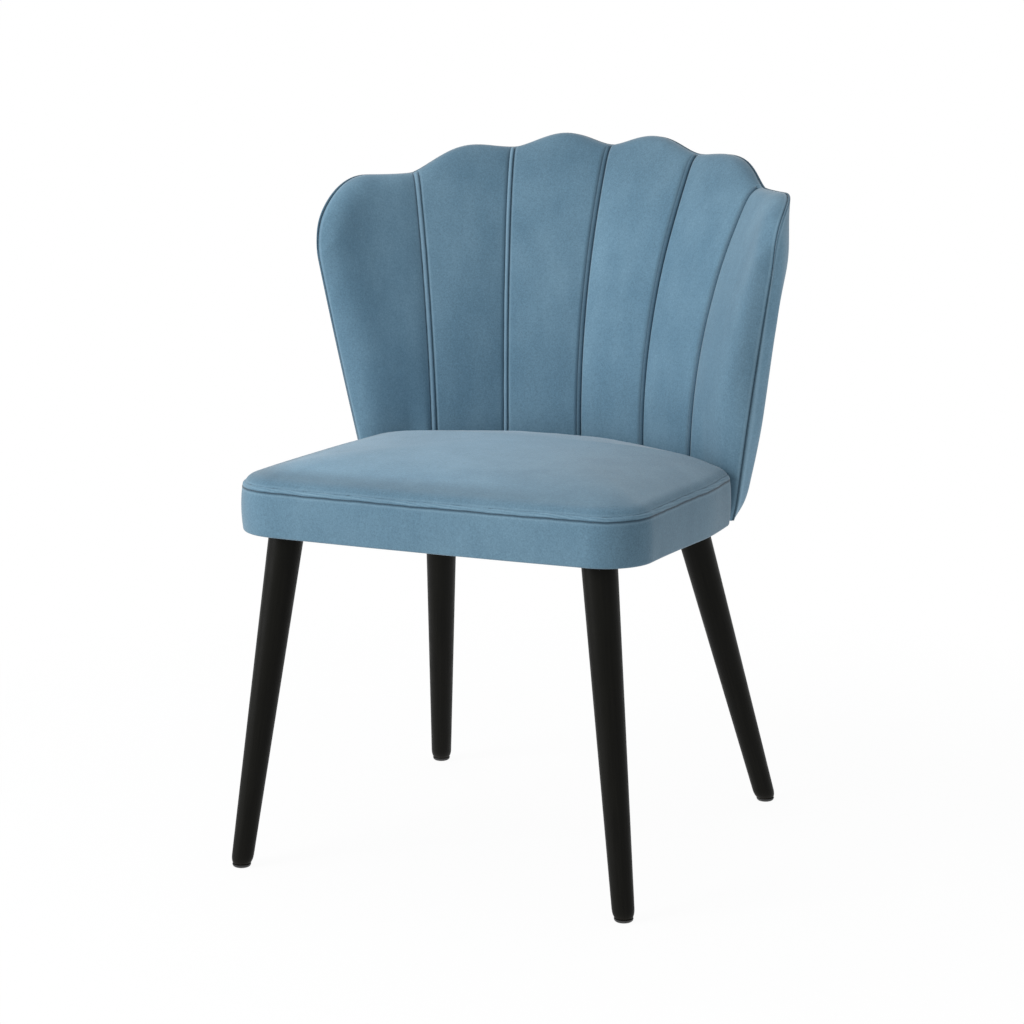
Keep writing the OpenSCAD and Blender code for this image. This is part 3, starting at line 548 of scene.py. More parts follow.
CHANNEL = both_halves(half_channel)
SHARE = both_halves(half_share)
SIDE = both_halves(np.ones(len(half_share)), True)
print("back:", len(SHARE), "columns of points")


def on_wing(a, b):
    """0 up to the share a of a wing's channel, 1 from the share b on; 0 on the other channels."""
    return np.where(CHANNEL == 2, smooth_step(a, b, SHARE), 0)


def rows_between(foot, top, even, crowd=26, zone=30.0, low=6, low_zone=24.0):
    """Heights of a column from its foot to its top, crowded near the top and the foot."""
    near_top = zone * np.linspace(0, 1, crowd) ** 2
    near_foot = low_zone * np.linspace(0, 1, low) ** 1.5
    mid = np.linspace(0, 1, even)[1:-1, None]
    a, b = foot + low_zone, top - zone
    return np.concatenate([foot[None] + near_foot[:, None], a + (b - a) * mid,
                           top[None] - near_top[::-1, None]])


def shell_grid(z, t, offset):
    """Points at an offset from the middle surface, mirrored onto the left."""
    p = middle(t, z) + offset[..., None] * outward(t, z)
    p[..., 0] *= SIDE
    return p


def edge_distances(z, inset=0.0):
    """Share of the half plan, and distances from the wing's edge and from the top edge."""
    channel = np.broadcast_to(CHANNEL, z.shape)
    share = np.broadcast_to(SHARE, z.shape)
    low, high = channel_bounds(channel, z)
    high = np.where(channel == 2, high - inset / plan_length(z), high)
    t = low + (high - low) * share
    side = (1 - t) * plan_length(z)
    top = (top_edge(channel, share) - z) * top_slant(channel, share)
    return t, side, np.maximum(top, 0)


# %% [markdown]
# ## The fluted lining
# The lining is sewn from six panels over channelled foam. Each seam is a narrow rib between two
# creases, and the foam swells softly between them. Near the top the cloth rolls over the edge.
# Where the seat stands against it the lining is pressed flatter. Cloth could be inflated over the
# foam by a simulation, but the real lining is stretched tight, so its form is that of the foam:
# a depth in front of the middle surface, worked out column by column.

# %% Lining depth
VALLEY, CROWN, WING_CROWN, ROLL_R, ROLL_R_WING = 17.0, 6.0, 8.0, 24.0, 12.0
LINING_FOOT, LINING_T, MIDDLE_GAP = 435.0, 3.0, 0.4
SEAM_IN, SEAM_DEPTH, EDGE_LIFT = 1.6, 3.6, 4.4
WING_DROP, WING_CUT = 12.0, 5.0


def seam_distance(z, t):
    """Distance in millimetres across the surface from the nearest channel seam."""
    length = plan_length(z)
    seams = [0 * z, seam_share(SECOND_SEAM, z), seam_share(OUTER_SEAM, z)]
    return np.min([np.abs(t - s) for s in seams], axis=0) * length


def lining_depth(z, t):
    """Depth of the channels' swell in front of the middle surface."""
    pressed = 1 - smooth_step(430, 560, z)
    swell = np.where(CHANNEL == 2, WING_CROWN, CROWN) * (1 - np.abs(2 * SHARE - 1) ** 2.3)
    lip = 3.0 * smooth_step(2.2, 6.2, seam_distance(z, t))
    return (VALLEY - 0.5 + lip + swell * (1 - 0.35 * pressed)) * (1 - 0.4 * pressed * on_wing(0, 0.35))


def soft_waves(p, size, seed):
    """Gentle unevenness of hand-laid cloth, a sum of slow waves."""
    rng = np.random.default_rng(seed)
    total = 0
    for _ in range(7):
        k = rng.normal(size=3) / size
        total = total + np.sin(p @ k + rng.uniform(0, 6.28))
    return total / 7


def drawn_in(z):
    """The wings' feet are cut back in a curve."""
    return WING_CUT * (1 - smooth_step(385, 425, z)) ** 2


def wing_edge(z):
    """1 where the edge seam lies on the wing's very edge, 0 where it lies in front of it."""
    return on_wing(0.45, 0.85) * (1 - smooth_step(680, 760, z))


# %% Lining points
top_line = top_edge(CHANNEL, SHARE)
wing_foot = FOOT_Z - WING_DROP * on_wing(0.45, 1)
lining_foot = LINING_FOOT + (wing_foot - LINING_FOOT) * on_wing(0.36, 0.46)
z = rows_between(lining_foot, top_line - SEAM_IN, 62)
seam_depth = SEAM_DEPTH - EDGE_LIFT * wing_edge(z)
broad = ROLL_R_WING * on_wing(0.1, 0.4)
t, side, top = edge_distances(z, SEAM_IN + drawn_in(z))
near = np.maximum(0, np.minimum(side - SEAM_IN - drawn_in(z),
                                top - SEAM_IN * top_slant(CHANNEL, SHARE)))
roll = soft_round(near, ROLL_R + broad)
depth = lining_depth(z, t)
waves = soft_waves(middle(t, z), 34.0, 3) * 0.5 * smooth_step(4, 14, seam_distance(z, t))
front = shell_grid(z, t, -seam_depth - (depth + waves - seam_depth) * roll)
# The outermost points turn in, so the edge seam is a groove
rim = (near < 0.01) & (z > lining_foot + 1)
t_in, _, _ = edge_distances(z, SEAM_IN + 1.0 + drawn_in(z))
turned = shell_grid(np.where(top < SEAM_IN + 0.01, z - 0.8, z), t_in,
                    1.0 - seam_depth - (depth + waves - seam_depth) * roll)
front = np.where(rim[..., None], turned, front)
# The side that lies on the foam
t_back, _, _ = edge_distances(z, SEAM_IN + 2.4 + drawn_in(z))
roll_back = quarter_round(np.maximum(near - 2.4, 0), ROLL_R - 3 + broad)
z_back = z - 4.0 * smooth_step(top_line - 30, top_line, z)
back = shell_grid(z_back, t_back, -MIDDLE_GAP - (depth - LINING_T - MIDDLE_GAP) * roll_back)

# %% Lining marks
seam = seam_distance(z, t)
across = np.hypot(near, (depth - seam_depth) * roll)
# Half the width of a rib; the one beside the left wing is the boldest
rib_half = np.where((SIDE < 0) & (t > 0.43), 3.2, 2.7)
# Painted shade in the creases beside each rib, a little stronger on the right half, and in the edge
# seam's groove; painted highlights on the lips beside them
crease = np.maximum((0.5 + 0.1 * SIDE) * bell(seam - rib_half, 0.7) * smooth_step(0.25, 0.6, roll),
                    0.8 * bell(across, 0.9))
lip = bell(seam - rib_half - 1.9, 1.0) * 0.5 + bell(across - 3.0, 1.3) * 0.5
lip = np.where(crease > 0.4, 0, lip)
# Painted light and shade: the colour is painted lighter on the left wing and, at mid height, on the
# channels at the right, and darker along the crest and near the wings' edges
high = smooth_step(500, 560, z) * (1 - smooth_step(690, 770, z))
left_wing = on_wing(0.0, 0.2) * (SIDE < 0)
right_channels = (SIDE > 0) * (CHANNEL < 2)
right_wing = (CHANNEL == 2) * (SIDE > 0) * smooth_step(500, 600, z)
nap = (0.12 * left_wing + 0.09 * right_channels * high - 0.1 * smooth_step(740, 800, z)
       - 0.2 * right_wing * bell(side - 8, 14) - 0.08 * left_wing * bell(side - 4, 16))
inner_cover = new_piece("back_inner_cover_sewn", *closed_sheet(front, back), back_velvet,
                        "cover_cloth", ["back_inner_cover"],
                        {"crease": painted(crease, z.size), "lip": painted(lip, z.size),
                         "nap": painted(nap, z.size)})

# %% [markdown]
# ## Ribs in the seams
# Each seam of the lining is topstitched over a thin cord, which gives a narrow rib. A curve with a
# round bevel would lie on the cloth like a wire. A tube of rings that follows the valley's own
# depth sinks into it instead, swells between the stitches and ends just under the top edge.

# %% Seam ribs
RIB_R, RIB_STOP, RIB_FINE, RIB_STITCH = 3.0, 6.0, 30.0, 4.2
RIB_TURN = np.linspace(0, 2 * math.pi, 17)[:-1]


def run_along(places):
    """Length of a line of points up to each of them."""
    return np.concatenate([[0], np.cumsum(np.linalg.norm(np.diff(places, axis=0), axis=1))])


def rib(channel_start, sign):
    """Rings of one rib that lies in the valley at the start of a channel."""
    top = float(top_edge(np.array(channel_start), np.array(0.0)))
    end = top - RIB_STOP
    # The last stretch, where the valley runs out, has finer steps
    heights = np.concatenate([np.linspace(LINING_FOOT + 1, end - RIB_FINE, 90),
                              end - RIB_FINE * np.cos(np.linspace(0, math.pi / 2, 26))[1:]])
    share, _ = channel_bounds(np.full(heights.shape, channel_start), heights)
    roll = soft_round(top - heights - SEAM_IN, ROLL_R)
    deep = SEAM_DEPTH - 0.8 + (VALLEY + 1.9 - SEAM_DEPTH) * roll
    n = outward(share, heights)
    centre = middle(share, heights) - deep[:, None] * n
    step = np.gradient(centre, axis=0)
    step /= np.linalg.norm(step, axis=1, keepdims=True)
    across = np.cross(step, n)
    across /= np.linalg.norm(across, axis=1, keepdims=True)
    rise = np.cross(across, step)
    # The rib beside the left wing, which the camera sees face on, is the boldest
    radius = RIB_R if (channel_start, sign) == (2, -1) else RIB_R - 0.5
    pull = 1 + 0.035 * np.sin(run_along(centre) * 2 * math.pi / RIB_STITCH)
    size = (radius * pull * (1 - 0.5 * smooth_step(top - 7, top - 2, heights)))[:, None, None]
    rings = (centre[:, None] + size * (np.cos(RIB_TURN)[None, :, None] * across[:, None]
                                       + 0.9 * np.sin(RIB_TURN)[None, :, None] * rise[:, None]))
    if sign < 0:
        rings = rings[:, ::-1] * np.array([-1, 1, 1])
    return rings


ribs = [closed_tube(rib(start, sign)) for start, sign in ((0, 1), (1, 1), (1, -1), (2, 1), (2, -1))]
points, faces = joined(ribs)
# Painted highlight along each rib's crest and painted shade round the rest of it
ridge = np.tile(np.maximum(0, np.sin(RIB_TURN)), len(points) // len(RIB_TURN))
new_piece("back_seam_ribs", points, faces, back_velvet, "cover_cloth", ["back_seam_welts"],
          {"crease": 0.5 * (1 - ridge) ** 3, "lip": 0.8 * ridge ** 2})

# %% [markdown]
# ## The outer cover
# One smooth panel wraps the back. It swells softly behind the wings' edges and thins towards the
# top, where it meets the lining in the edge seam. It could simply be the lining's grid moved
# backward, but the two covers are cut from different patterns: the outer one has no channels, is
# drawn in at the waist and folds forward into the seam.

# %% Outer cover depth
OUTER_DEPTH, OUTER_ROLL, OUTER_TOP, OUTER_FOOT = 25.0, 18.0, 131.0, 20.0
OUTER_T = 3.2
wing = on_wing(0.25, 0.9)


def swelled(d, r):
    """A swell that starts at once and is full at the depth r."""
    return np.sin(math.pi / 2 * np.clip(d / r, 0, 1))


def outer_rise(side, top, above, inset=0.0):
    """How far the cover has swelled, 0 to 1; the wings' corners fill sooner, their feet later."""
    foot = quarter_round(above, OUTER_FOOT + 20 * wing - inset)
    return swelled(side, OUTER_ROLL - inset) * swelled(top, OUTER_TOP - 60 * wing - inset) * foot


def fullness(z):
    """The cover's depth: thin at the wings' feet, full above them, drawn in behind their waist."""
    swell = (2.5 * bell(z - 500, 50) - 6.0 * bell(z - 650, 70) + 4.0 * bell(z - 738, 42)
             - 3.0 * (1 - smooth_step(400, 470, z)))
    return OUTER_DEPTH + on_wing(0, 0.5) * swell


# %% Outer cover points
z = rows_between(wing_foot, top_line, 58, low=14, low_zone=26.0)
t, side, top = edge_distances(z, drawn_in(z))
side = side - drawn_in(z)
near = np.maximum(0, np.minimum(side, top))
waves = soft_waves(middle(t, z), 60.0, 8) * 0.8 * smooth_step(6, 40, near)
seam_depth = SEAM_DEPTH - EDGE_LIFT * wing_edge(z)
level = -1.0 + 3.0 * wing_edge(z)
at_seam = level + (1.0 - seam_depth - level) * np.exp(-near / 0.35)
swell = (fullness(z) - MIDDLE_GAP - level + waves) * outer_rise(side, top, z - wing_foot)
outer = shell_grid(z, t, at_seam + swell)
# The rim folds forward into the edge seam
rim = (near < 0.01) & (z > wing_foot + 1)
t_in, _, _ = edge_distances(z, SEAM_IN + 0.2 + drawn_in(z))
folded = shell_grid(np.where(top < 0.01, z - SEAM_IN - 0.2, z), t_in, 0 * z - seam_depth + 0.3)
outer = np.where(rim[..., None], folded, outer)
# The side that lies on the wadding
t_in, _, _ = edge_distances(z, OUTER_T + drawn_in(z))
z_in = (z + 3.0 * (1 - smooth_step(wing_foot, wing_foot + 24, z))
        - OUTER_T * smooth_step(top_line - 30, top_line, z))
start = -0.2 + 3.2 * wing_edge(z_in)
rise = outer_rise(np.maximum(side - 3, 0), np.maximum(top - 3, 0), z_in - wing_foot - 3, 3.0)
inner = shell_grid(z_in, t_in, start + (fullness(z_in) - OUTER_T - MIDDLE_GAP - start) * rise)

# %% Outer cover marks
side_zone = on_wing(0.3, 0.7)
# Painted shade in the edge seam; painted highlights just beside it on the wings' sides; painted light
# over the wings' sides, with painted shade right at the seam
crease = (0.55 - 0.1 * side_zone) * bell(near, 1.2 - 0.6 * side_zone)
lip = 0.5 * bell(near - 2.2, 1.3) * side_zone
nap = 0.48 * side_zone - 0.2 * bell(near, 2.0)
new_piece("back_outer_cover_sewn", *closed_sheet(inner, outer), back_velvet, "cover_cloth",
          ["back_outer_cover"],
          {"crease": painted(crease, z.size, True), "lip": painted(lip, z.size, True),
           "nap": painted(nap, z.size, True)})

# %% [markdown]
# ## The seat's outline
# The seat's plan is a rounded slab: a front that bows a little, wide front corners, sides that
# taper to the shoulders beside the wings, and a rear edge that follows the lining. A curve object
# could hold it. A list of corners, each with its radius, is how a pattern cutter would note it
# down, and the arcs between them are worked out here.

# %% Seat outline
SIDE_X, FRONT, REAR = 253.0, 276.5, 161.0
# Each corner of the right half: x, y and its radius
CORNERS = [(0, -FRONT, 0), (86, -FRONT, 5000), (SIDE_X, -FRONT + 5, 58), (SIDE_X, -32, 500),
           (SIDE_X - 7.5, REAR - 108.5, 28), (SIDE_X - 103, REAR - 45, 120), (84, REAR - 9, 100),
           (0, REAR, 0)]
SHOULDER_CORNER, PAST_SHOULDER = 4, 5
LINE_STEP = 3.0


def outline():
    """Points and outward normals of the right half, from the front middle to the rear middle.

    The third value is the number of the point where the shoulder beside the wing ends.
    """
    places, normals, band_end = [np.array([0.0, -FRONT])], [np.array([0.0, -1.0])], 0
    for k in range(1, len(CORNERS) - 1):
        a, b, c = (np.array(CORNERS[i][:2], float) for i in (k - 1, k, k + 1))
        radius = CORNERS[k][2]
        u = (b - a) / np.linalg.norm(b - a)
        v = (c - b) / np.linalg.norm(c - b)
        turn = math.acos(min(1, float(u @ v)))
        centre = b - u * radius * math.tan(turn / 2) - np.array([u[1], -u[0]]) * radius
        start = math.atan2(-u[0], u[1])
        count = max(2, int(radius * turn / LINE_STEP) + 1)
        for w in start + turn * np.linspace(0, 1, count):
            n = np.array([math.cos(w), math.sin(w)])
            places.append(centre + radius * n)
            normals.append(n)
        if k == SHOULDER_CORNER:
            band_end = len(places) - 1
    places.append(np.array([0.0, REAR]))
    normals.append(np.array([0.0, 1.0]))
    # Long straights get points in between
    full, out, end = [places[0]], [normals[0]], 0
    for k in range(1, len(places)):
        gap = np.linalg.norm(places[k] - places[k - 1])
        for s in np.linspace(0, 1, max(2, int(gap / LINE_STEP) + 1))[1:]:
            full.append(places[k - 1] + (places[k] - places[k - 1]) * s)
            n = normals[k - 1] + (normals[k] - normals[k - 1]) * s
            out.append(n / np.linalg.norm(n))
        if k == band_end:
            end = len(full) - 1
    return np.array(full), np.array(out), end


def both_sides(half, last):
    """The right half up to a point, with its mirror image before it."""
    return np.concatenate([half[last:0:-1] * np.array([-1, 1]), half[:last + 1]])


half_place, half_normal, shoulder_end = outline()
rear_end, band_end = len(half_place) - 1, shoulder_end + PAST_SHOULDER
loop_place, loop_normal = (both_sides(half, rear_end)[:-1] for half in (half_place, half_normal))
band_place, band_normal = (both_sides(half, band_end) for half in (half_place, half_normal))
loop_run, band_run = run_along(loop_place), run_along(band_place)
print("seat outline", len(loop_place), "points; band", len(band_place))

# %% [markdown]
# ## The seat cushion
# The cushion's top is one panel, crowned towards the middle, with a soft shoulder that rolls
# down to the seam. The seam draws in small puckers along the shoulder's foot. The edge lies a
# little lower towards the back, where sitters have pressed the foam. It could be a box with
# rounded edges and smoothing on it, but rings that follow the outline keep the shoulder equally
# wide all the way round and put most of the points where the cloth bends.

# %% Seat top
BAND_TOP, COVER_Z, STRIP_IN = 451.0, 456.2, 3.4
SHOULDER_H, SHOULDER_R, CROWN_H, CROWN_SPAN = 7.2, 4.4, 19.0, 72.0
SHOULDER_ZONE, COVER_T, SINK = 18.0, 3.0, 5.5
CROWN_MIDDLE = np.array([0.0, 25.0])


def sinking(y):
    """How far the seat's edge has sunk at y, from nothing at the front."""
    return SINK * smooth_step(-225, 75, y)


def puckers(run, slant, period=4.6):
    """Small pleats along a seam, a little uneven in strength."""
    strength = 0.6 + 0.4 * np.sin(run / 31.0) * np.sin(run / 13.7 + 1)
    return strength * np.sin(2 * math.pi * (run + slant) / period)


def seam_drift(run):
    """The hand-guided seam wanders by a fraction of a millimetre."""
    return 0.22 * np.sin(run / 19.0) + 0.16 * np.sin(run / 7.3 + 2) + 0.1 * np.sin(run / 3.1 + 4)


def crown_rise(d):
    """Share of the crown's height at a distance from the seam."""
    return 1 - np.exp(-(d / CROWN_SPAN) ** 1.2)


def crown_height(v, reach):
    """Height of the crown at the share v of the way from a rim to the seat's middle.

    Towards the middle it levels out to one height from every side, so the middle has no peak.
    """
    def rise(v):
        return crown_rise(SHOULDER_ZONE + reach * np.sin(math.pi / 2 * v) * 2 / math.pi)
    even = 1 + (1 / rise(1.0) - 1) * smooth_step(0, 1, v)
    return CROWN_H * rise(v) * even


# %% Seat top points
from_seam = SHOULDER_ZONE * np.linspace(0, 1, 22) ** 1.7
toward_middle = np.linspace(1, 0.02, 44)[1:]
rim = loop_place - (SHOULDER_ZONE + STRIP_IN) * loop_normal
reach = np.linalg.norm(rim - CROWN_MIDDLE, axis=1)
flat_rings = np.array([loop_place - (d + STRIP_IN) * loop_normal for d in from_seam]
                      + [CROWN_MIDDLE + (rim - CROWN_MIDDLE) * u for u in toward_middle])
ring_depths = np.array([np.full(len(rim), d) for d in from_seam]
                       + [SHOULDER_ZONE + (1 - u) * reach for u in toward_middle])
shoulder = SHOULDER_H * (1 - np.exp(-ring_depths / SHOULDER_R))
inner = np.concatenate([np.zeros(len(from_seam)), 1 - toward_middle])[:, None]
crown = np.where(inner > 0, crown_height(inner, reach), CROWN_H * crown_rise(ring_depths))
fade = np.exp(-ring_depths / 5.0)
sunk = sinking(loop_place[:, 1])[None, :] * np.exp(-(ring_depths / 30.0) ** 2)
heights = (COVER_Z + shoulder + crown - sunk + 0.3 * fade * puckers(loop_run, 2 * ring_depths)
           + seam_drift(loop_run) * np.exp(-ring_depths / 3.0))
upper = np.concatenate([flat_rings, heights[:, :, None]], 2)
under = upper[::-1].copy()
under[:, :, 2] -= COVER_T
under[:, :, :2] = CROWN_MIDDLE + (under[:, :, :2] - CROWN_MIDDLE) * 0.985
under[-1, :, 2] = upper[0, :, 2]

# %% Seat top marks
along = ring_depths + shoulder
# Painted shade along the seam, stronger at the right front, and a painted highlight on the shoulder just
# above it
shaded_right_front = smooth_step(0, 120, flat_rings[:, :, 0]) * smooth_step(-270, -180, flat_rings[:, :, 1])
crease = 0.12 * bell(along, 0.7) + 0.4 * shaded_right_front * bell(along - 0.6, 1.1)
lip = 0.35 * bell(along - 2.4, 1.5)
# Painted light towards the left; elsewhere the colour is painted a little darker
nap = 0.46 * smooth_step(230, -60, flat_rings[:, :, 0]) * smooth_step(18, 60, ring_depths) - 0.06
hidden = under.shape[0] * under.shape[1]
seat_top = new_piece("seat_cushion_top", *closed_tube(np.concatenate([under, upper])), seat_velvet,
                     "cover_cloth", ["seat_top_cover"],
                     {"crease": painted(crease, hidden, True), "lip": painted(lip, hidden, True),
                      "nap": painted(nap, hidden, True)})

# %% [markdown]
# ## The seam strip
# Between cushion and side band runs a narrow strip that leans inward. Its lower edge is a deep
# seam, its upper edge a shallow one, and the threads pull the cloth into fine slanted pleats.
# The pleats could be painted as relief only, but they stand on the seat's outline, where real
# geometry shows and relief doesn't.

# %% Seam strip
STRIP_TURN = np.linspace(0, 2 * math.pi, 29)[:-1]
LEAN = math.atan2(STRIP_IN - 0.3, COVER_Z - BAND_TOP)
HALF_TALL, HALF_THICK = 3.2, 1.5


def strip_pleats(run):
    """The pleats round one ring of the strip."""
    return puckers(run, 3.0 * np.sin(STRIP_TURN), 2.9)


def strip_ring(p, n, run):
    """One ring of the strip at a point of the outline, with its outward normal."""
    outer_side = np.maximum(0, np.cos(STRIP_TURN))
    out = (HALF_THICK + 0.2 * strip_pleats(run) * outer_side) * np.cos(STRIP_TURN)
    tall = HALF_TALL * np.sin(STRIP_TURN)
    away = out * math.cos(LEAN) - tall * math.sin(LEAN) - STRIP_IN / 2 - 0.75
    height = ((BAND_TOP + COVER_Z) / 2 + out * math.sin(LEAN) + tall * math.cos(LEAN)
              - sinking(p[1]) + seam_drift(run))
    return np.column_stack([p[0] + n[0] * away, p[1] + n[1] * away, height])


rings = np.array([strip_ring(*at) for at in zip(band_place, band_normal, band_run)])
low_edge = bell((np.sin(STRIP_TURN) + 1.0) * HALF_TALL, 0.9)
high_edge = bell((np.sin(STRIP_TURN) - 1.0) * HALF_TALL, 0.6)
pleats = 0.5 + 0.5 * np.array([strip_pleats(run) for run in band_run])
# Painted shade in the seam along the strip's lower edge, faint at its upper edge, and painted highlights
# on the pleats' crests
new_piece("seat_seam_strip", *closed_tube(rings), seat_velvet, "cover_cloth", ["seat_welt"],
          {"crease": np.tile(0.85 * low_edge + 0.1 * high_edge, len(rings)),
           "lip": (pleats ** 2 * np.maximum(0, np.cos(STRIP_TURN))).ravel()})

# %% [markdown]
# ## The side band
# The band is cut as one strip, wrapped round the foam and rolled under the frame. It swells a
# little at mid height. A profile swept along the outline is how the strip is laid on in the
# workshop, so the mesh is made the same way: one profile, a ring for each point of the outline.

# %% Side band
LIP_Z, HEM_Z, HEM_TOP, LIP_R = 398.6, 400.6, 403.7, 3.2


def band_profile():
    """Outer face from the seam down, then under the frame and back up inside."""
    up = np.linspace(0, 1, 22)
    height = BAND_TOP + (LIP_Z + LIP_R - BAND_TOP) * up
    depth = -1.7 * np.sin(math.pi * np.clip(up * 1.02, 0, 1)) ** 0.8 + 0.25
    outer = list(zip(depth, height))
    roll = [(0.3 + LIP_R * (1 - math.cos(a)), LIP_Z + LIP_R * (1 - math.sin(a)))
            for a in np.linspace(0, math.pi / 2, 9)[1:]]
    under = [(8, LIP_Z), (9.5, LIP_Z + 0.5), (11, HEM_Z), (22, HEM_Z), (22, HEM_TOP),
             (3.8, HEM_TOP), (3.8, 428), (2.6, BAND_TOP)]
    return np.array(outer + roll + under)


profile = band_profile()
outer_face = profile[:, 0] < 2
below = np.where(outer_face, BAND_TOP - profile[:, 1], 99)


def band_ring(p, n, run):
    """The profile at a point of the outline; the seam draws in its upper edge, the rear hangs deeper."""
    fade = np.where(outer_face, np.exp(-np.abs(BAND_TOP - profile[:, 1]) / 5.0), 0)
    d = profile[:, 0] - 0.25 * fade * puckers(run, 1.5 * (BAND_TOP - profile[:, 1]))
    deeper = 2.5 * smooth_step(-260, 20, p[1]) * smooth_step(BAND_TOP, LIP_Z, profile[:, 1])
    height = profile[:, 1] - sinking(p[1]) - deeper + seam_drift(run) * fade
    return np.column_stack([p[0] - n[0] * d, p[1] - n[1] * d, height])


rings = np.array([band_ring(*at) for at in zip(band_place, band_normal, band_run)])
FRONT_CORNER = np.array([250.0, -258.0])  # here the colour is painted a little darker: painted shade
to_corner = np.linalg.norm(band_place - FRONT_CORNER, axis=1)
# Painted shade on the seam line at the band's top, a painted highlight just below it, and painted shade
# at the right front corner
new_piece("seat_side_band_sewn", *closed_tube(rings), seat_velvet, "cover_cloth",
          ["seat_side_band"], {"crease": np.tile(0.9 * bell(below, 0.7), len(rings)),
                               "lip": np.tile(0.4 * bell(below - 2.4, 1.5), len(rings)),
                               "nap": np.repeat(-0.09 * bell(to_corner, 38.0), len(profile))},
          sharp=50)

# %% [markdown]
# ## Legs
# The legs are turned tapers of beech, splayed, with softly rounded feet, sprayed in near-black
# satin lacquer. The lacquer lies so thin that the grain still shows as fine ridges. A stock cone
# would end in sharp rims and stand askew to its grain. Level rings round the leg's own axis give
# it a flat top under the frame, and the marks "along" and "round" let the grain run up the leg.

# %% Leg lacquer
def lacquer():
    """Near-black lacquer; the mark "wear" lets it go brown where the foot is knocked."""
    material, tree = new_material("black_lacquer")
    along = add(tree, "Attribute", attribute_name="along").outputs["Fac"]
    around = add(tree, "Attribute", attribute_name="round").outputs["Fac"]
    place = add(tree, "CombineXYZ", {0: around, 1: 0.0, 2: along}).outputs[0]
    grain = add(tree, "TexNoise", {"Vector": place, "Scale": 1.0, "Detail": 5.0,
                                   "Roughness": 0.6}).outputs["Fac"]
    colour = ramp(tree, grain, [(0.3, (0.0034, 0.0034, 0.0026)), (0.75, (0.0068, 0.0066, 0.0052))])
    wear = add(tree, "Attribute", attribute_name="wear").outputs["Fac"]
    colour = mixed(tree, wear, colour, (0.035, 0.031, 0.026))
    rough = ramp(tree, noise(tree, 60.0, 3.0), [(0.3, 0.38), (0.7, 0.5)])
    ridges = bump(tree, grain, 0.22, 0.0003)
    peel = bump(tree, noise(tree, 500.0, 2.0), 0.08, 0.0003, ridges)
    surface(tree, Base_Color=colour, Roughness=rough, Normal=peel, Specular_IOR_Level=0.07)
    return material


leg_finish = lacquer()
print("finish:", leg_finish.name)

# %% Legs
LEG_TOP_R, LEG_FOOT_R, GLIDE_H, FOOT_ROUND = 20.5, 12.5, 4.0, 11
LEG_TURN = np.linspace(0, 2 * math.pi, 49)[:-1]
# Where each leg's axis meets the floor and the frame, on the right side
LEGS = {"front": ((242.5, -266.5), (195.0, -230.0)), "rear": ((226.0, 243.0), (162.5, 113.5))}


def leg_rings(foot, top):
    """Level rings of a splayed cone, rounded at the foot, and their heights."""
    foot3, top3 = np.array([*foot, 0.0]), np.array([*top, SEAT_Z])
    axis = top3 - foot3
    length = np.linalg.norm(axis)
    axis = axis / length
    side = np.cross(axis, [0, 0, 1.0])
    side /= np.linalg.norm(side)
    other = np.cross(axis, side)
    ray = np.cos(LEG_TURN)[:, None] * side + np.sin(LEG_TURN)[:, None] * other
    grow = (LEG_TOP_R - LEG_FOOT_R) / length
    slope = axis + grow * ray
    start = foot3 + LEG_FOOT_R * ray
    round_end = GLIDE_H + FOOT_ROUND
    heights = np.concatenate([round_end - FOOT_ROUND * np.cos(np.linspace(0, math.pi / 2, 12)),
                              np.linspace(round_end, SEAT_Z - 3, 70)[1:],
                              [SEAT_Z - 1.2, SEAT_Z - 0.1]])
    rings = []
    for h in heights:
        at = start + slope * ((h - start[:, 2]) / slope[:, 2])[:, None]
        centre = foot3 + axis * h / axis[2]
        k = min(1.0, (h - GLIDE_H) / FOOT_ROUND)
        shrink = 1 - 0.3 * (1 - math.sqrt(1 - (1 - k) ** 2))
        if h > SEAT_Z - 1:  # the rim under the frame is eased
            shrink = 0.985
        rings.append(centre + (at - centre) * shrink)
    return np.array(rings), heights


for which, (foot_xy, top_xy) in LEGS.items():
    for side_name, sign in (("right", 1), ("left", -1)):
        rings, heights = leg_rings(foot_xy, top_xy)
        if sign < 0:
            rings = rings[:, ::-1] * np.array([-1, 1, 1])
        points, faces = closed_tube(rings)
        run = np.repeat(heights, len(LEG_TURN))
        # Each leg has its own stretch of grain
        grain_start = (3 if sign > 0 else 9) + (5 if which == "rear" else 0)
        marks = {"along": run * 0.012 + grain_start,
                 "round": np.tile(6 * np.cos(LEG_TURN) + 2 * np.sin(LEG_TURN), len(heights)),
                 "wear": 0.35 * np.exp(-(run - GLIDE_H) / 3.5)}
        new_piece(f"{which}_{side_name}_leg_turned", points, faces, leg_finish,
                  "leg_lacquer", [f"{which}_{side_name}_leg"], marks, sharp=60)

# %% [markdown]
# ## Parts inside
# Rails, corner blocks, dowels, the plywood shell and the fittings are hard and have exact shapes,
# so the CAD model's own solids stay, and only get finishes: planed beech, bent plywood, zinc,
# brass and nylon. Photographs of wood could be wrapped round them, but noise stretched along the
# grain has no seams and no end.

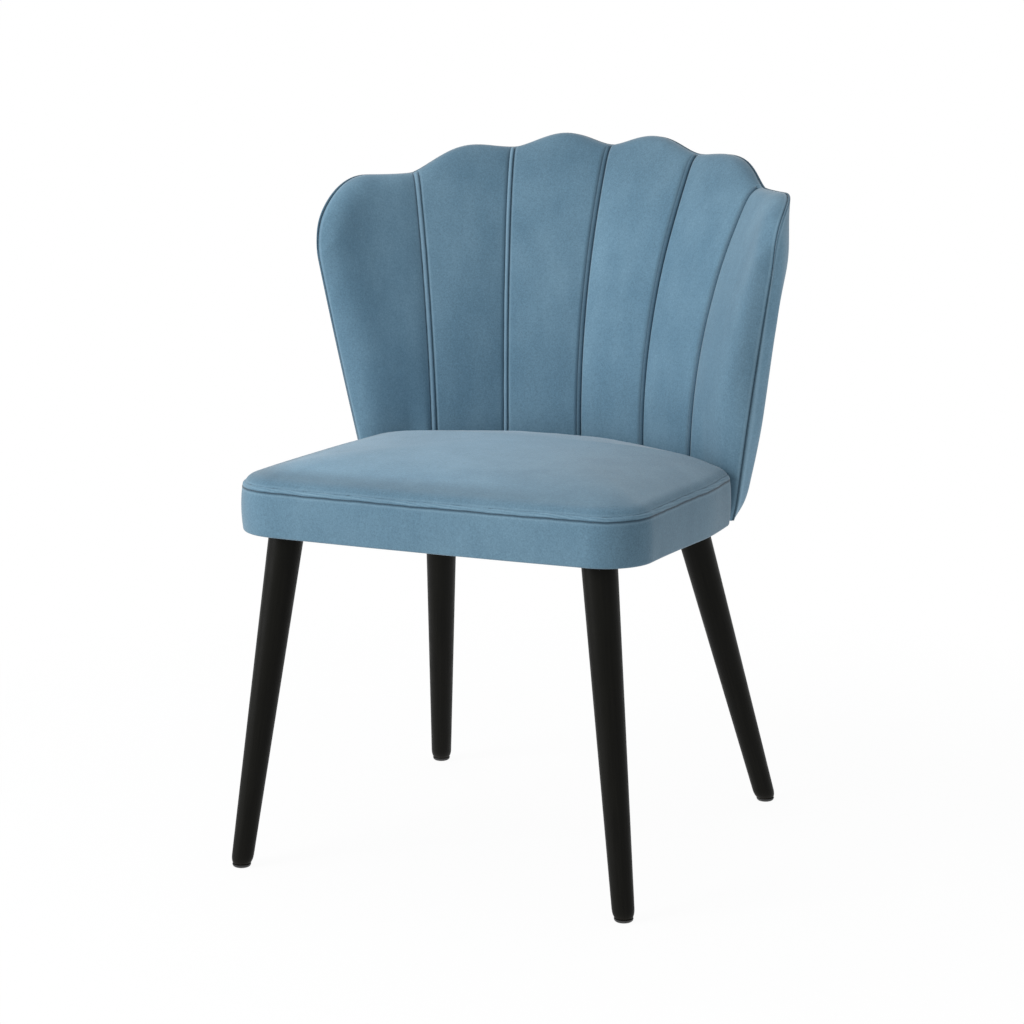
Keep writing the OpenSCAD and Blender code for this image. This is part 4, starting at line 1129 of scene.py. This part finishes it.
# %% Finishes of hard parts
def wood(name, dark, light, stretch):
    """Wood whose lines run along the axis on which stretch is small."""
    material, tree = new_material(name)
    lines = noise(tree, 160.0, 5.0, stretch=stretch, Distortion=0.6)
    colour = ramp(tree, lines, [(0.3, dark), (0.52, light), (0.72, dark)])
    pores = ramp(tree, noise(tree, 900.0, 2.0, stretch=stretch), [(0.3, 0.8), (0.5, 1.0)])
    colour = mixed(tree, 1.0, colour, pores, "MULTIPLY")
    rough = ramp(tree, lines, [(0.2, 0.62), (0.8, 0.48)])
    surface(tree, Base_Color=colour, Roughness=rough, Normal=bump(tree, lines, 0.2, 0.0004))
    return material


def metal(name, colour, roughness):
    """Metal with a faint stain and a fine grain."""
    material, tree = new_material(name)
    stain = noise(tree, 120.0, 3.0)
    tone = mixed(tree, stain, tuple(0.75 * c for c in colour), colour)
    rough = ramp(tree, stain, [(0.3, roughness), (0.7, roughness + 0.18)])
    surface(tree, Base_Color=tone, Roughness=rough, Metallic=1.0,
            Normal=bump(tree, noise(tree, 1400.0, 2.0), 0.12, 0.0002))
    return material


def moulded(name, colour):
    """Plastic out of an eroded mould."""
    material, tree = new_material(name)
    speck = ramp(tree, noise(tree, 700.0, 2.0), [(0.3, 0.85), (0.7, 1.1)])
    surface(tree, Base_Color=mixed(tree, 1.0, speck, colour, "MULTIPLY"), Roughness=0.48,
            Normal=bump(tree, noise(tree, 900.0, 2.0), 0.2, 0.0003))
    return material


def soft_stuff(name, dark, light, scale, height):
    """Foam or wadding, with cells of a size that scale sets."""
    material, tree = new_material(name)
    cells = add(tree, "TexVoronoi", {"Vector": add(tree, "TexCoord").outputs["Object"],
                                     "Scale": scale}).outputs["Distance"]
    colour = ramp(tree, cells, [(0.1, dark), (0.55, light)])
    shade = ramp(tree, noise(tree, 14.0, 3.0), [(0.3, 0.92), (0.7, 1.03)])
    surface(tree, Base_Color=mixed(tree, 1.0, colour, shade, "MULTIPLY"), Roughness=0.95,
            Normal=bump(tree, cells, 0.6, height), Sheen_Weight=0.2)
    return material


def woven(name, dark, light, scale):
    """Two sets of threads that cross."""
    material, tree = new_material(name)
    place = add(tree, "TexCoord").outputs["Object"]
    a = add(tree, "TexWave", {"Vector": place, "Scale": scale}, bands_direction="X").outputs["Fac"]
    b = add(tree, "TexWave", {"Vector": place, "Scale": scale}, bands_direction="Y").outputs["Fac"]
    cloth = math_node(tree, "MULTIPLY", a, b)
    colour = ramp(tree, cloth, [(0.1, dark), (0.9, light)])
    surface(tree, Base_Color=colour, Roughness=0.85, Normal=bump(tree, cloth, 0.5, 0.0005),
            Sheen_Weight=0.15)
    return material


beech = wood("planed_beech", (0.42, 0.25, 0.13), (0.6, 0.4, 0.23), (1, 0.12, 1))
dowel_wood = wood("dowel_beech", (0.5, 0.33, 0.18), (0.66, 0.47, 0.28), (0.2, 1, 1))
ply = wood("bent_plywood", (0.3, 0.18, 0.09), (0.5, 0.32, 0.17), (1, 1, 0.1))
zinc = metal("zinc_steel", (0.55, 0.56, 0.58), 0.3)
brass = metal("turned_brass", (0.6, 0.42, 0.16), 0.28)
nylon = moulded("black_nylon", (0.012, 0.012, 0.012))
foam = soft_stuff("open_cell_foam", (0.5, 0.42, 0.24), (0.82, 0.74, 0.52), 700.0, 0.0008)
wadding = soft_stuff("wadding", (0.62, 0.61, 0.57), (0.86, 0.85, 0.82), 260.0, 0.002)
strap_weave = woven("strap_weave", (0.006, 0.006, 0.006), (0.045, 0.045, 0.045), 420.0)
dust_weave = woven("dust_cloth", (0.003, 0.003, 0.0035), (0.012, 0.012, 0.014), 900.0)
print("finishes:", ", ".join(m.name for m in (beech, dowel_wood, ply, zinc, brass, nylon, foam,
                                              wadding, strap_weave, dust_weave)))

# %% Finishes on the CAD pieces
LEG_PLACES = [f"{end}_{side}" for end in ("front", "rear") for side in ("left", "right")]
FINISH = [(beech, [f"seat_{place}_rail" for place in ("front", "left", "right", "rear")]),
          (beech, [f"{place}_block" for place in LEG_PLACES]),
          (nylon, [f"{place}_glide" for place in LEG_PLACES]),
          (zinc, ["back_bolts", "back_tee_nuts", "leg_bolts", "leg_washers"]),
          (dowel_wood, ["frame_dowels"]), (ply, ["back_shell"]), (brass, ["leg_inserts"])]
for finish, node_names in FINISH:
    for node_name in node_names:
        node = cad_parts[node_name]
        if len(node.material_slots):
            for part_slot in node.material_slots:
                part_slot.material = finish
        else:
            node.data.materials.append(finish)
    print(finish.name, "on", ", ".join(node_names))

# %% [markdown]
# ## Foam, wadding, webbing and dust cover
# The soft parts inside are modelled too, because the model can be opened up. They are made by the
# covers' own functions, a cover's thickness further in, so that nothing pokes through the cloth.

# %% Seat foam
FOAM_FOOT, FOAM_TOP = 433.9, 451.5
FOAM_RIM = [(8.5, FOAM_FOOT), (4.5, 436.2), (4.5, 443.0), (8.5, 445.5), (8.5, 448.0), (9.5, 449.5),
            (12, 451), (16, 452.6), (20, 453.8), (24, 454.6)]


def loop_ring(inset, height):
    """The seat's outline, moved inward, at a height."""
    at = loop_place - inset * loop_normal
    return np.column_stack([at, np.full(len(at), height)])


foam_rings = [loop_ring(inset, height) for inset, height in FOAM_RIM]
rim = loop_place - 24.4 * loop_normal
reach = np.linalg.norm(rim - CROWN_MIDDLE, axis=1)
for u in np.linspace(1, 0.05, 18)[1:]:
    top_foam = FOAM_TOP + crown_height(1 - u, reach) + 2.0 * smooth_step(0, 0.3, 1 - u)
    foam_rings.append(np.column_stack([CROWN_MIDDLE + (rim - CROWN_MIDDLE) * u, top_foam]))
new_piece("seat_foam_block", *closed_tube(np.array(foam_rings)), foam, "foam", ["seat_foam"],
          sharp=40)

# %% Back foam
EDGE_IN = 4.0
z = rows_between(np.full(top_line.shape, LINING_FOOT), top_line - EDGE_IN, 24, crowd=10, low=3)
t, side, top = edge_distances(z, EDGE_IN)
near = np.minimum(side, top) - EDGE_IN
front = shell_grid(z, t, -0.8 - (lining_depth(z, t) - 5.0) * quarter_round(near, 20.0 + 1.5 * broad))
rear = shell_grid(z, t, -0.6 - (5.0 + crest_fullness(t, z)) * quarter_round(near, 6.0))
new_piece("back_foam_channelled", *closed_sheet(front, rear), foam, "foam", ["back_foam"])

# %% Wadding behind the shell
z = rows_between(wing_foot + EDGE_IN, top_line - EDGE_IN, 24, crowd=10, low=5)
t, side, top = edge_distances(z, EDGE_IN + drawn_in(z))
side, top = np.maximum(side - drawn_in(z) - EDGE_IN, 0), np.maximum(top - EDGE_IN, 0)
behind = (2.7 - crest_fullness(t, z)) * swelled(side, 20.0) * swelled(top, 20.0)
front = shell_grid(z, t, behind)
rise = outer_rise(side, top, np.maximum(z - wing_foot - EDGE_IN, 0), EDGE_IN)
rear = shell_grid(z, t, np.maximum(0.1 + (fullness(z) - 4.9) * rise, behind + 0.1))
new_piece("back_wadding_layer", *closed_sheet(front, rear), wadding, "wadding",
          ["back_outer_padding"])

# %% Webbing
STRAP_STEP, STRAP_HALF_W, STRAP_T, REAR_REACH = 92.0, 25.0, 1.5, 20
CROSS_MIDDLE = -75


def strap(centre, half_size, along_x):
    """A webbing strap whose bound edges stand up a little."""
    u = np.linspace(-1, 1, 60)[:, None]
    v = np.linspace(-1, 1, 9)[None, :]
    x = centre[0] + half_size[0] * (u if along_x else v) + 0 * (u + v)
    y = centre[1] + half_size[1] * (v if along_x else u) + 0 * (u + v)
    height = centre[2] + np.where(np.abs(v) > 0.85, 0.15, 0.0) + 0 * u
    upper = np.stack([x, y, height + STRAP_T / 2 - 0.1], -1)
    lower = np.stack([x, y, height - STRAP_T / 2], -1)
    return closed_sheet(upper, lower)


def cad_box_mm(node_name):
    """Lowest and highest corner of a CAD piece."""
    return [np.array(corner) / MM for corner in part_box(node_name)]


low, high = cad_box_mm("webbing_lengthwise")
straps = []
for i in (-1, 0, 1):
    strap_end = high[1] - (REAR_REACH if i else 0)  # the middle strap reaches further back
    straps.append(strap((i * STRAP_STEP, (low[1] + strap_end) / 2, (low[2] + high[2]) / 2),
                        (STRAP_HALF_W, (strap_end - low[1]) / 2), False))
new_piece("webbing_lengthwise_woven", *joined(straps), strap_weave, "webbing",
          ["webbing_lengthwise"], sharp=40)
low, high = cad_box_mm("webbing_crosswise")
straps = [strap((0, i * STRAP_STEP + CROSS_MIDDLE, (low[2] + high[2]) / 2),
                (high[0], STRAP_HALF_W), True) for i in (-1, 0, 1)]
new_piece("webbing_crosswise_woven", *joined(straps), strap_weave, "webbing",
          ["webbing_crosswise"], sharp=40)

# %% Dust cover
DUST_T, DUST_IN = 0.7, 12.0
sheet = loop_place - DUST_IN * loop_normal
shrink = np.linspace(1, 0.02, 26)
upper = [np.column_stack([sheet * s, np.full(len(sheet), SEAT_Z + DUST_T - 0.05)]) for s in shrink]
lower = [ring - np.array([0, 0, DUST_T - 0.1]) for ring in upper[::-1]]
new_piece("dust_cover_sheet", *closed_tube(np.array(lower + upper)), dust_weave, "dust_cloth",
          ["seat_dust_cover"], sharp=40)
